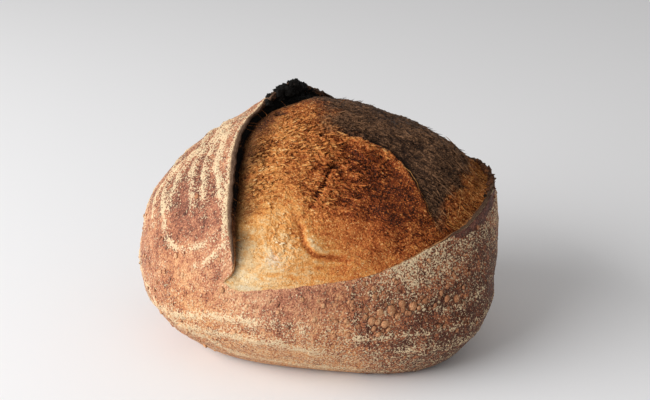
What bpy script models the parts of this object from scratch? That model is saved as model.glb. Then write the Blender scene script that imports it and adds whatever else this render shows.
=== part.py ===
"""A round sourdough loaf: one crusty solid with a raised ear and a burst bloom.

Units are metres and +Z is up. The loaf stands on its flat base, and the middle of
its bounding box is over the origin. The long curved slash opens the crust from the
front left corner, over the top, to the back right corner. The crust on its left has
peeled up into a thin ear, and the crumb has swollen through the opening as a dome.

Every point of the surface is found along a ray from the loaf's heart, which lies over
the middle of the base at the height of the belly. Directions are given as an azimuth
from +X towards +Y, and an elevation above the belly, both in degrees.
"""
import math

import bmesh
import bpy
import numpy as np

MM = 0.001

# The body: a squared-off oval, wider than deep, cut flat below.
BODY_HALF_LENGTH = 103.1 * MM
BODY_HALF_DEPTH = 94.0 * MM
BODY_TURN = -14.0
BELLY_HEIGHT = 40.0 * MM
TOP_RISE = 87.8 * MM
TOP_SQUARENESS = 2.2
BASE_DROP = 62.0 * MM
BASE_SQUARENESS = 1.64
BASE_FILLET = 8.0 * MM

# Soft swells of the body: azimuth, elevation, spread (degrees), share of the radius.
SWELLS = {
    "shoulder": (-5.0, 30.0, 19.0, 0.223),
    "flap": (175.0, 28.0, 22.0, 0.045),
    "crown": (46.0, 81.0, 28.0, 0.225),
    "right_hip": (-35.0, -20.0, 22.0, 0.256),
    "left_hip": (205.0, -20.0, 22.0, 0.050),
}

# The slash. Each stop holds the direction of the crevice where crust and crumb part
# (azimuth, elevation), the lift of the lip over the body, how far the lip leans back
# from the crevice, and how deep the crevice lies, in millimetres.
LEFT_EDGE = (
    (240.0, 15.5, 0.5, 0.3, 0.3),
    (243.8, 20.5, 1.6, 0.6, 1.0),
    (242.5, 30.0, 3.0, 2.4, 2.5),
    (239.0, 38.8, 4.0, 3.4, 3.5),
    (233.0, 51.2, 4.6, 4.4, 4.0),
    (222.5, 61.0, 4.6, 4.8, 4.0),
    (202.0, 71.0, 4.0, 5.0, 4.0),
    (179.0, 76.6, 3.8, 4.6, 4.0),
    (148.0, 79.5, 7.2, 2.6, 4.0),
    (112.0, 79.0, 10.5, 0.8, 4.0),
    (86.0, 71.0, 6.0, 0.8, 3.5),
    (71.0, 59.0, 4.0, 1.5, 3.0),
    (62.0, 44.0, 2.4, 1.5, 2.0),
    (57.0, 30.0, 0.8, 0.5, 0.6),
)
RIGHT_EDGE = (
    (57.0, 30.0, 0.8, 0.5, 0.6),
    (42.0, 32.0, 1.8, 1.5, 1.8),
    (24.0, 33.2, 3.0, 2.5, 3.0),
    (6.0, 32.5, 4.0, 3.0, 4.0),
    (353.0, 30.5, 4.2, 3.2, 4.5),
    (345.0, 29.0, 3.8, 3.2, 4.5),
    (338.0, 27.6, 3.4, 3.2, 4.0),
    (331.0, 26.2, 3.0, 3.0, 3.0),
    (324.0, 25.0, 2.2, 2.2, 1.8),
    (315.0, 23.8, 1.4, 1.2, 1.0),
    (305.0, 21.7, 0.8, 0.5, 0.6),
    (292.0, 19.6, 0.4, 0.3, 0.4),
    (275.0, 18.1, 0.2, 0.2, 0.3),
    (258.0, 16.0, 0.2, 0.2, 0.3),
    (246.0, 13.9, 0.3, 0.2, 0.3),
    (240.0, 15.5, 0.5, 0.3, 0.3),
)
STOP_STEPS = 24

# The lip's rounded rim, from under it to its outer side: shares of the lean and of
# the lift, then millimetres added across and up, all scaled down on a low lip.
LIP_PROFILE = (
    (-0.45, -0.35, 0.0, 0.0),
    (-0.85, 0.05, 0.0, 0.0),
    (-1.0, 0.45, -0.4, 0.0),
    (-1.0, 1.0, 1.2, -1.8),
    (-1.0, 1.0, 0.5, -0.5),
    (-1.0, 1.0, -0.6, 0.0),
)
FULL_LIP = 4.0 * MM
LIP_BACK = 1.8 * MM
FLAP_REACH = 32.0 * MM

# The crumb sinks towards the crevice over this width.
BLOOM_ROLL = 17.0 * MM

# Folds in the bloom where one swell of crumb rides over the next: stops as azimuth
# and elevation, the height of the step, and the depth of the fold's line.
FOLDS = {
    "dark_lobe": (
        ((311.0, 74.0), (322.0, 65.0), (326.0, 58.5), (326.0, 50.5),
         (324.0, 44.0), (322.0, 35.0)),
        2.6 * MM, 1.6 * MM),
    "crescent": (
        ((267.0, 41.0), (268.5, 36.5), (270.5, 31.0), (276.5, 27.8), (284.0, 27.0)),
        1.4 * MM, 1.4 * MM),
}
FOLD_SOFTNESS = 4.0 * MM

BLOOM_AXIS = (308.0, 52.0)
COLUMNS = 72
BLOOM_ROWS = 27
CRUST_ROWS = 30

CRUST_COLOUR = (0.42, 0.21, 0.10, 1.0)
CRUST_ROUGHNESS = 0.85
SHARP_ANGLE = 50.0


def unit(azimuth, elevation):
    """Return unit vectors for azimuths and elevations in degrees."""
    azimuth = np.radians(azimuth)
    elevation = np.radians(elevation)
    level = np.cos(elevation)
    return np.stack((level * np.cos(azimuth), level * np.sin(azimuth), np.sin(elevation)), -1)


def normalised(vectors):
    """Return the vectors at length one."""
    return vectors / np.linalg.norm(vectors, axis=-1, keepdims=True)


def smooth_min(first, second, width):
    """Return the lower of two lengths, blended over the given width."""
    blend = np.maximum(width - np.abs(first - second), 0.0) / width
    return np.minimum(first, second) - blend * blend * width / 4.0


def body_radius(directions):
    """Return the body's radius from its heart along each direction."""
    turn = math.radians(BODY_TURN)
    along = directions[..., 0] * math.cos(turn) + directions[..., 1] * math.sin(turn)
    across = directions[..., 1] * math.cos(turn) - directions[..., 0] * math.sin(turn)
    rise = directions[..., 2]
    level = np.hypot(along / BODY_HALF_LENGTH, across / BODY_HALF_DEPTH)
    top = rise > 0.0
    power = np.where(top, TOP_SQUARENESS, BASE_SQUARENESS)
    height = np.where(top, TOP_RISE, BASE_DROP)
    radius = (level ** power + (np.abs(rise) / height) ** power) ** (-1.0 / power)
    gain = np.ones_like(radius)
    for azimuth, elevation, spread, share in SWELLS.values():
        angle = np.degrees(np.arccos(np.clip(directions @ unit(azimuth, elevation), -1.0, 1.0)))
        gain += share * np.exp(-0.5 * (angle / spread) ** 2)
    floor = BELLY_HEIGHT / np.maximum(-rise, 1e-6)
    return smooth_min(radius * gain, floor, BASE_FILLET)


def smooth_run(stops, steps):
    """Return a Catmull-Rom run through rows of numbers, without its last point."""
    stops = np.asarray(stops)
    padded = np.vstack((2.0 * stops[0] - stops[1], stops, 2.0 * stops[-1] - stops[-2]))
    t = (np.arange(steps) / steps)[:, None]
    spans = []
    for a, b, c, d in zip(padded, padded[1:], padded[2:], padded[3:]):
        spans.append(0.5 * (2.0 * b + (c - a) * t + (2.0 * a - 5.0 * b + 4.0 * c - d) * t ** 2
                            + (3.0 * b - a - 3.0 * c + d) * t ** 3))
    return np.vstack(spans)


def slash_edge(count):
    """Return evenly spaced crevice directions, and the lift, lean and depth at each."""
    runs = []
    for stops in (LEFT_EDGE, RIGHT_EDGE):
        stops = np.array(stops)
        vectors = unit(stops[:, 0], stops[:, 1])
        runs.append(smooth_run(np.hstack((vectors, stops[:, 2:] * MM)), STOP_STEPS))
    loop = np.vstack(runs)
    loop[:, :3] = normalised(loop[:, :3])
    closed = np.vstack((loop, loop[:1]))
    places = closed[:, :3] * body_radius(closed[:, :3])[:, None]
    length = np.concatenate(([0.0], np.cumsum(np.linalg.norm(np.diff(places, axis=0), axis=1))))
    wanted = np.arange(count) / count * length[-1]
    even = np.stack([np.interp(wanted, length, column) for column in closed.T], -1)
    even[:, :3] = normalised(even[:, :3])
    return even[:, :3], np.maximum(even[:, 3:], 0.0)


def side_step(edge, inward, distance):
    """Return edge directions moved sideways along the surface, towards the crumb."""
    return normalised(edge + inward * (distance / body_radius(edge))[:, None])


def inward_tangents(edge, axis):
    """Return unit tangents at the edge, square to it and pointing to the bloom."""
    along = np.roll(edge, -1, axis=0) - np.roll(edge, 1, axis=0)
    inward = normalised(np.cross(edge, along))
    wrong = np.sum(inward * (axis - edge), axis=1) < 0.0
    inward[wrong] *= -1.0
    return inward


def nearest(directions, line):
    """Return the index of the nearest point of a line, and the gap on the body."""
    cosines = np.clip(directions @ line.T, -1.0, 1.0)
    index = np.argmax(cosines, axis=-1)
    angle = np.arccos(np.take_along_axis(cosines, index[..., None], -1)[..., 0])
    return index, angle * body_radius(directions)


def fold_relief(directions):
    """Return the bloom's height over the body from its folds."""
    relief = np.zeros(directions.shape[:-1])
    for stops, step, groove in FOLDS.values():
        stops = np.array(stops)
        line = normalised(smooth_run(unit(stops[:, 0], stops[:, 1]), STOP_STEPS))
        index, gap = nearest(directions, line)
        along = np.gradient(line, axis=0)
        side = np.sum(np.cross(line, along)[index] * directions, axis=-1)
        signed = np.sign(side) * gap
        fade = np.sin(np.pi * (index + 0.5) / len(line)) ** 0.5
        hump = np.exp(-np.abs(gap) / (5.0 * FOLD_SOFTNESS))
        crease = np.exp(-(gap / FOLD_SOFTNESS) ** 2)
        relief += fade * (-0.5 * step * np.tanh(signed / FOLD_SOFTNESS) * hump - groove * crease)
    return relief


def ray_between(start, end, share):
    """Return directions a share of the way along the arcs from start to end."""
    angle = np.arccos(np.clip(np.sum(start * end, axis=-1, keepdims=True), -1.0, 1.0))
    return (np.sin((1.0 - share) * angle) * start + np.sin(share * angle) * end) / np.sin(angle)


def loaf_rows():
    """Return the rings of surface points from the bloom's crest to the base's middle."""
    axis = unit(*BLOOM_AXIS)
    edge, sizes = slash_edge(COLUMNS)
    fine_edge, fine_sizes = slash_edge(COLUMNS * 6)
    lift, lean, depth = sizes.T
    inward = inward_tangents(edge, axis)
    rows = []

    for number in range(1, BLOOM_ROWS + 1):
        share = 1.0 - (1.0 - number / BLOOM_ROWS) ** 1.3
        rays = ray_between(axis, edge, share)
        index, gap = nearest(rays, fine_edge)
        sink = fine_sizes[index, 2] * np.maximum(1.0 - gap / BLOOM_ROLL, 0.0) ** 2
        rows.append(rays * (body_radius(rays) + fold_relief(rays) - sink)[:, None])

    lip_size = np.minimum(lift / FULL_LIP, 1.0)
    for share_lean, share_lift, across, up in LIP_PROFILE:
        rays = side_step(edge, inward, share_lean * lean + across * MM * lip_size)
        span = np.where(share_lift < 0.0, depth, lift)
        height = share_lift * span + up * MM * lip_size
        rows.append(rays * (body_radius(rays) + height)[:, None])

    outer = side_step(edge, inward, -lean - LIP_BACK * lip_size)
    fine_inward = inward_tangents(fine_edge, axis)
    fine_lip = np.minimum(fine_sizes[:, 0] / FULL_LIP, 1.0)
    fine_outer = side_step(fine_edge, fine_inward, -fine_sizes[:, 1] - LIP_BACK * fine_lip)
    for number in range(CRUST_ROWS):
        share = (number / CRUST_ROWS) ** 1.25
        rays = ray_between(outer, -axis, share)
        index, gap = nearest(rays, fine_outer)
        rise = fine_sizes[index, 0] * np.maximum(1.0 - gap / FLAP_REACH, 0.0) ** 2
        rows.append(rays * (body_radius(rays) + rise)[:, None])
    return np.array(rows), axis


def loaf_mesh():
    """Return the loaf's mesh: a sphere whose rings are drawn out to the loaf's rows."""
    rings, axis = loaf_rows()
    crest = axis * (body_radius(axis) + fold_relief(axis[None])[0])
    base = -axis * body_radius(-axis)
    points = np.vstack((crest, rings.reshape(-1, 3), base))
    points[:, 2] += BELLY_HEIGHT
    middle = (points.min(axis=0) + points.max(axis=0)) / 2.0
    points[:, :2] -= middle[:2]
    points[np.abs(points[:, 2]) < 0.02 * MM, 2] = 0.0

    shape = bmesh.new()
    bmesh.ops.create_uvsphere(shape, u_segments=COLUMNS, v_segments=len(rings) + 1, radius=1.0)
    step = math.pi / (len(rings) + 1)
    for vertex in shape.verts:
        ring = round(math.acos(max(-1.0, min(1.0, vertex.co.z))) / step)
        turn = math.atan2(vertex.co.y, vertex.co.x) / (2.0 * math.pi)
        if ring == 0:
            place = points[0]
        elif ring > len(rings):
            place = points[-1]
        else:
            place = points[1 + (ring - 1) * COLUMNS + round(-turn * COLUMNS) % COLUMNS]
        vertex.co = place
    bmesh.ops.triangulate(shape, faces=shape.faces[:])
    bmesh.ops.recalc_face_normals(shape, faces=shape.faces[:])
    mesh = bpy.data.meshes.new("loaf")
    shape.to_mesh(mesh)
    shape.free()
    return mesh


def crust_material():
    """Return the plain browned crust material."""
    material = bpy.data.materials.new("browned_crust")
    material.use_nodes = True
    shader = material.node_tree.nodes["Principled BSDF"]
    shader.inputs["Base Color"].default_value = CRUST_COLOUR
    shader.inputs["Roughness"].default_value = CRUST_ROUGHNESS
    shader.inputs["Metallic"].default_value = 0.0
    return material


def main():
    """Clear the scene and model the loaf."""
    for old in list(bpy.data.objects):
        bpy.data.objects.remove(old)
    mesh = loaf_mesh()
    mesh.materials.append(crust_material())
    mesh.shade_smooth()
    mesh.set_sharp_from_angle(angle=math.radians(SHARP_ANGLE))
    loaf = bpy.data.objects.new("loaf", mesh)
    bpy.context.scene.collection.objects.link(loaf)


main()
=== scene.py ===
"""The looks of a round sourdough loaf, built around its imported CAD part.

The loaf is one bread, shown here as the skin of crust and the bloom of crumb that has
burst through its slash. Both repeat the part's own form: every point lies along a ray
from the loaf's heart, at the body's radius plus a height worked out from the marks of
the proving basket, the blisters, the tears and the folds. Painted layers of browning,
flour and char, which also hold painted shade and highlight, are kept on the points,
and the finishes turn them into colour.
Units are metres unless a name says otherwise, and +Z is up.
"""

import logging
import math
from collections.abc import Callable
from dataclasses import dataclass
from enum import Enum

import bpy
import numpy as np
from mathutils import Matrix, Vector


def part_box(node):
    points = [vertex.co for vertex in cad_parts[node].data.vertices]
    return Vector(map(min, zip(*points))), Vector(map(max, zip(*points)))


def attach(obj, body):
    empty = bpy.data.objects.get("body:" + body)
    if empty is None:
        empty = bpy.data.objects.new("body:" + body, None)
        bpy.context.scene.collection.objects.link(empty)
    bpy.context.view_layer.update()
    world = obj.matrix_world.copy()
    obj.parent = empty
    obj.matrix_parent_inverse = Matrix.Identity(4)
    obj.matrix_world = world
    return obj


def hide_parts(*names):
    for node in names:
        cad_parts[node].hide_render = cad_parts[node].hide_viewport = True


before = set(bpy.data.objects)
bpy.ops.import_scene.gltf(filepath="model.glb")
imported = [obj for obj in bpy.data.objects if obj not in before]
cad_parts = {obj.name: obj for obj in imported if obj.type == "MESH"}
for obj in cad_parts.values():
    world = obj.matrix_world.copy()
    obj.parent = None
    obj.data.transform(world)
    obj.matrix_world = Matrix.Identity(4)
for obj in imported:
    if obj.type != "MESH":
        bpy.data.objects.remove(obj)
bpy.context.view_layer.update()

MM = 0.001
LINE_STEPS = 12
READ_AT_ONCE = 40000
SKIN_EVENING = 0.35
CRUMB_EVENING = 0.45
ROW_STEP = 3.0
KNOB = {"subdivisions": 2, "radius": 1.0}
Array = np.ndarray
Stops = tuple[tuple[float, ...], ...]
Piece = bpy.types.Object
Socket = bpy.types.NodeSocket
Material = bpy.types.Material
Triple = tuple[float, float, float]

logging.basicConfig(level=logging.INFO, format="%(message)s")
log = logging.getLogger("loaf")


class Paint(Enum):
    """The painted layers that a surface carries, each from 0 to 1 at every point."""

    BAKE = "bake"
    ASH = "ash"
    FLOUR = "flour"
    # The char layer also holds painted shade: the ear's shadow, the cavity at the crevice's foot and the
    # dark holes on the bloom.
    CHAR = "char"
    TEAR = "tear"
    BLISTER = "blister"
    GOLD = "gold"


Layers = dict[Paint, Array]


# --- Directions, lines and blends ---

def unit(azimuth: Array | float, elevation: Array | float) -> Array:
    """Turn azimuths and elevations into unit vectors.

    Args:
        azimuth: Degrees from +X towards +Y.
        elevation: Degrees above the level of the loaf's heart.

    Returns:
        Unit vectors, with the three axes last.
    """
    azimuth = np.radians(azimuth)
    elevation = np.radians(elevation)
    level = np.cos(elevation)
    return np.stack((level * np.cos(azimuth), level * np.sin(azimuth), np.sin(elevation)), -1)


def normalised(vectors: Array) -> Array:
    """Return the vectors at length one."""
    return vectors / np.linalg.norm(vectors, axis=-1, keepdims=True)


def rise(low: float, high: float, values: Array) -> Array:
    """Blend smoothly from 0 where values are low to 1 where they are high; high may be the lower."""
    share = np.clip((values - low) / (high - low), 0.0, 1.0)
    return share * share * (3.0 - 2.0 * share)


def smooth_run(stops: Array, steps: int) -> Array:
    """Run a Catmull-Rom curve through rows of numbers.

    Args:
        stops: The rows that the curve goes through.
        steps: How many points each span between two rows gets.

    Returns:
        The rows along the curve, without the last stop.
    """
    padded = np.vstack((2.0 * stops[0] - stops[1], stops, 2.0 * stops[-1] - stops[-2]))
    t = (np.arange(steps) / steps)[:, None]
    spans = []
    for a, b, c, d in zip(padded, padded[1:], padded[2:], padded[3:]):
        spans.append(0.5 * (2.0 * b + (c - a) * t + (2.0 * a - 5.0 * b + 4.0 * c - d) * t ** 2
                            + (3.0 * b - a - 3.0 * c + d) * t ** 3))
    return np.vstack(spans)


@dataclass(frozen=True)
class Fan:
    """Columns of directions that run from one direction, through a loop, to its opposite.

    Attributes:
        axis: The direction that the columns start from.
        loop: The directions of the loop that they run through.
    """

    axis: Array
    loop: Array

    def at(self, share: Array, column: Array, spreading: float) -> Array:
        """Return directions in the fan.

        Args:
            share: 0 at the axis, 1 at the loop, and 2 opposite the axis.
            column: The place along the loop, counted in its points.
            spreading: The share over which the columns, which the loop crowds where
                it turns away, come to stand evenly.

        Returns:
            The directions, with the three axes last.
        """
        aside = normalised(np.cross(self.axis, (0.0, 0.0, 1.0)))
        upward = np.cross(aside, self.axis)
        bend = np.arccos(np.clip(self.loop @ self.axis, -1.0, 1.0))
        turn = np.unwrap(np.arctan2(self.loop @ upward, self.loop @ aside))
        count = len(turn)
        full_turn = 2.0 * math.pi * np.sign(turn[-1] - turn[0])
        full = np.arange(count) * full_turn / count
        shift = turn - full
        bend = np.interp(column, np.arange(count), bend, period=count)
        even = column * full_turn / count + np.mean(shift)
        turn = column * full_turn / count + np.interp(column, np.arange(count), shift, period=count)
        turn = turn + (even - turn) * rise(0.0, spreading, np.abs(share - 1.0))
        beyond = np.maximum(share - 1.0, 0.0)
        bend = bend * np.minimum(share, 1.0) + (math.pi - bend) * beyond
        level = np.sin(bend)
        return (np.cos(bend)[..., None] * self.axis + (level * np.cos(turn))[..., None] * aside
                + (level * np.sin(turn))[..., None] * upward)

    def ring(self, share: float, spreading: float) -> Array:
        """Return one ring of the fan, with a direction for each point of the loop."""
        return self.at(np.array(share), np.arange(len(self.loop)), spreading)


@dataclass(frozen=True)
class SurfaceLine:
    """A line drawn on the loaf through a few directions.

    Attributes:
        rays: Directions along the line, closely and evenly spaced.
        along: The unit tangent at each of them.
        spacing: The angle from one to the next, in radians.
    """

    rays: Array
    along: Array
    spacing: float

    @classmethod
    def through(cls, stops: Stops) -> "SurfaceLine":
        """Draw a line through a few stops.

        Args:
            stops: Their azimuths and elevations in degrees.

        Returns:
            The line.
        """
        table = np.array(stops)
        rays = normalised(smooth_run(unit(table[:, 0], table[:, 1]), LINE_STEPS))
        return cls.along_rays(rays, closed=False)

    @classmethod
    def along_rays(cls, rays: Array, closed: bool) -> "SurfaceLine":
        """Make a line of directions that are already close together.

        Args:
            rays: The directions.
            closed: Whether the last leads back to the first.

        Returns:
            The line.
        """
        if closed:
            along = np.roll(rays, -1, axis=0) - np.roll(rays, 1, axis=0)
        else:
            along = np.gradient(rays, axis=0)
        steps = np.linalg.norm(np.diff(rays, axis=0), axis=1)
        return cls(rays, normalised(along), float(steps.mean()))

    def nearest(self, directions: Array) -> tuple[Array, Array, Array]:
        """Find how far directions are from the line.

        Args:
            directions: Unit vectors, as rows.

        Returns:
            The index of the line's nearest point, the gap in radians, and the gap
            again with a sign that says on which side of the line it lies.
        """
        flat = directions.reshape(-1, 3)
        index = np.empty(len(flat), int)
        line = self.rays.T.astype(np.float32)
        for start in range(0, len(flat), READ_AT_ONCE):
            part = slice(start, start + READ_AT_ONCE)
            index[part] = np.argmax(flat[part].astype(np.float32) @ line, axis=1)
        offset = flat - self.rays[index]
        along = self.along[index]
        slide = np.clip(np.sum(offset * along, axis=1), -0.6 * self.spacing, 0.6 * self.spacing)
        gap = np.sqrt(np.maximum(np.sum(offset * offset, axis=1) - slide * slide, 0.0))
        side = np.sum(np.cross(self.rays[index], along) * flat, axis=1)
        shape = directions.shape[:-1]
        signed = np.where(side < 0.0, -gap, gap)
        return index.reshape(shape), gap.reshape(shape), signed.reshape(shape)


@dataclass(frozen=True)
class Patches:
    """Values held at a few directions, blended smoothly from one to the next.

    Attributes:
        spread: How far each stop's say reaches, in degrees.
        stops: Azimuth and elevation in degrees, and the value there.
    """

    spread: float
    stops: Stops

    def at(self, directions: Array) -> Array:
        """Blend the stops' values.

        Args:
            directions: Unit vectors, with the axes last.

        Returns:
            The value at each of them.
        """
        table = np.array(self.stops)
        rays = unit(table[:, 0], table[:, 1])
        angle = np.degrees(np.arccos(np.clip(directions @ rays.T, -1.0, 1.0)))
        nearness = -0.5 * (angle / self.spread) ** 2
        weight = np.exp(nearness - nearness.max(axis=-1, keepdims=True))
        return (weight @ table[:, 2]) / weight.sum(axis=-1)

    def spots(self, directions: Array) -> Array:
        """Read the strongest stop's value.

        Args:
            directions: Unit vectors, with the axes last.

        Returns:
            The value at each of them, fading to 0 away from every stop.
        """
        total = np.zeros(directions.shape[:-1])
        for azimuth, elevation, value in self.stops:
            angle = np.degrees(np.arccos(np.clip(directions @ unit(azimuth, elevation), -1.0, 1.0)))
            total = np.maximum(total, value * np.exp(-0.5 * (angle / self.spread) ** 2))
        return total


# --- Noise ---

@dataclass(frozen=True)
class Noise:
    """Seeded noise over space, the same on every run."""

    seed: int

    def _mixed(self, cells: Array) -> Array:
        """Scramble the places of lattice cells.

        Args:
            cells: The whole places of the cells.

        Returns:
            One scrambled whole number for each.
        """
        whole = cells.astype(np.int64).astype(np.uint32)
        mixed = (whole[..., 0] * np.uint32(0x8DA6B343) + whole[..., 1] * np.uint32(0xD8163841)
                 + whole[..., 2] * np.uint32(0xCB1AB31F) + np.uint32(self.seed * 7919))
        mixed ^= mixed >> np.uint32(15)
        mixed *= np.uint32(0x2C1B3C6D)
        mixed ^= mixed >> np.uint32(12)
        mixed *= np.uint32(0x297A2D39)
        return mixed ^ (mixed >> np.uint32(15))

    @staticmethod
    def _parts(mixed: Array) -> Array:
        """Split each scrambled number into three from 0 to 1."""
        bits = np.stack((mixed, mixed >> np.uint32(10), mixed >> np.uint32(20)), -1)
        return (bits & np.uint32(1023)) / 1023.0

    def waves(self, points: Array, size: float) -> Array:
        """Gradient noise from about -1 to 1.

        Args:
            points: Where to read the noise.
            size: The distance from one wave to the next.

        Returns:
            One number for each point.
        """
        place = points / size
        cell = np.floor(place)
        inner = place - cell
        fade = inner ** 3 * (inner * (inner * 6.0 - 15.0) + 10.0)
        total = np.zeros(points.shape[:-1])
        for corner in np.ndindex(2, 2, 2):
            step = np.array(corner, float)
            slope = self._parts(self._mixed(cell + step)) * 2.0 - 1.0
            weight = np.prod(np.where(step > 0.5, fade, 1.0 - fade), axis=-1)
            total += weight * np.sum(slope * (inner - step), axis=-1)
        return total * 1.5

    def fractal(self, points: Array, size: float, octaves: int = 4, gain: float = 0.5) -> Array:
        """Sum waves of halving size.

        Args:
            points: Where to read the noise.
            size: The size of the largest waves.
            octaves: How many sizes are summed.
            gain: How strong each is beside the one before.

        Returns:
            One number for each point, from about -1 to 1.
        """
        total = np.zeros(points.shape[:-1])
        for octave in range(octaves):
            layer = Noise(self.seed + 31 * octave)
            total += gain ** octave * layer.waves(points, size / 2.0 ** octave)
        return total

    def ridges(self, points: Array, size: float, octaves: int = 3, gain: float = 0.5) -> Array:
        """Sum sharp crests of halving size.

        Args:
            points: Where to read the noise.
            size: The size of the largest crests.
            octaves: How many sizes are summed.
            gain: How strong each is beside the one before.

        Returns:
            One number for each point, from 0 in the valleys to 1 on the crests.
        """
        total = np.zeros(points.shape[:-1])
        for octave in range(octaves):
            layer = Noise(self.seed + 31 * octave)
            crest = 1.0 - np.abs(layer.waves(points, size / 2.0 ** octave)) * 1.6
            total += gain ** octave * np.maximum(crest, 0.0) ** 2
        return total / sum(gain ** octave for octave in range(octaves))

    def drift(self, points: Array, size: float) -> Array:
        """Return a smoothly wandering vector for each point."""
        return np.stack([Noise(self.seed + 57 * axis).waves(points, size) for axis in (1, 2, 3)], -1)

    def cells(self, points: Array, size: float) -> tuple[Array, Array]:
        """Find the nearest of the points scattered one to a cell.

        Args:
            points: Where to look from.
            size: The side of a cell.

        Returns:
            The distance to the nearest scattered point, and three random numbers from
            0 to 1 that belong to it.
        """
        place = points / size
        cell = np.floor(place)
        best = np.full(points.shape[:-1], np.inf)
        chance = np.zeros(points.shape)
        for step in np.ndindex(3, 3, 3):
            corner = cell + np.array(step, float) - 1.0
            mixed = self._mixed(corner)
            seat = corner + self._parts(mixed)
            distance = np.sum((seat - place) ** 2, axis=-1)
            nearer = distance < best
            best = np.where(nearer, distance, best)
            own = self._parts(Noise(self.seed + 977)._mixed(corner))
            chance = np.where(nearer[..., None], own, chance)
        return np.sqrt(best) * size, chance


# --- The loaf's form, as the CAD part has it ---

@dataclass(frozen=True)
class LoafForm:
    """The body: a squared-off oval with soft swells, cut flat below.

    Attributes:
        half_length: Half its length, before the swells.
        half_depth: Half its depth, before the swells.
        turn: How far its length is turned from +X, in degrees.
        belly: The height of the heart over the base.
        top_rise: The rise of the top over the heart.
        top_squareness: The power of the oval above the heart.
        base_drop: The drop of the uncut underside below the heart.
        base_squareness: The power of the oval below the heart.
        base_fillet: The rounding where the side meets the base.
        heart_shift: Where the heart lies beside the middle of the CAD box.
        swells: Azimuth, elevation, spread in degrees, and share of the radius.
    """

    half_length: float = 103.1 * MM
    half_depth: float = 94.0 * MM
    turn: float = -14.0
    belly: float = 40.0 * MM
    top_rise: float = 87.8 * MM
    top_squareness: float = 2.2
    base_drop: float = 62.0 * MM
    base_squareness: float = 1.64
    base_fillet: float = 8.0 * MM
    heart_shift: tuple[float, float] = (-6.35 * MM, 0.6 * MM)
    swells: Stops = (
        (-5, 30, 19, 0.223), (175, 28, 22, 0.045), (46, 81, 28, 0.225), (-35, -20, 22, 0.256),
        (205, -20, 22, 0.05),
    )

    def heart(self) -> Array:
        """Find the point that all rays start from.

        Returns:
            The point, in the part's frame.
        """
        low, high = (np.array(corner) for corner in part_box("loaf"))
        middle = (low + high) / 2.0
        shift = np.array((*self.heart_shift, self.belly))
        return np.array((middle[0], middle[1], low[2])) + shift

    def radius(self, directions: Array) -> Array:
        """Work out how far the body's surface lies from its heart.

        Args:
            directions: Unit vectors, with the axes last.

        Returns:
            The radius along each of them.
        """
        turn = math.radians(self.turn)
        along = directions[..., 0] * math.cos(turn) + directions[..., 1] * math.sin(turn)
        across = directions[..., 1] * math.cos(turn) - directions[..., 0] * math.sin(turn)
        up = directions[..., 2]
        level = np.hypot(along / self.half_length, across / self.half_depth)
        top = up > 0.0
        power = np.where(top, self.top_squareness, self.base_squareness)
        height = np.where(top, self.top_rise, self.base_drop)
        radius = (level ** power + (np.abs(up) / height) ** power) ** (-1.0 / power)
        gain = np.ones_like(radius)
        for azimuth, elevation, spread, share in self.swells:
            cosine = np.clip(directions @ unit(azimuth, elevation), -1.0, 1.0)
            gain += share * np.exp(-0.5 * (np.degrees(np.arccos(cosine)) / spread) ** 2)
        floor = self.belly / np.maximum(-up, 1e-6)
        radius = radius * gain
        blend = np.maximum(self.base_fillet - np.abs(radius - floor), 0.0) / self.base_fillet
        return np.minimum(radius, floor) - blend * blend * self.base_fillet / 4.0


@dataclass(frozen=True)
class SlashEdge:
    """The line of the crevice where crust and crumb part.

    Attributes:
        line: The line itself, closed.
        inward: Unit tangents square to it, pointing to the bloom.
        lift: The lip's height over the body.
        lean: How far the lip leans back from the crevice.
        depth: How deep the crevice lies.
    """

    line: SurfaceLine
    inward: Array
    lift: Array
    lean: Array
    depth: Array

    @property
    def rays(self) -> Array:
        """The directions along the line."""
        return self.line.rays


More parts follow.
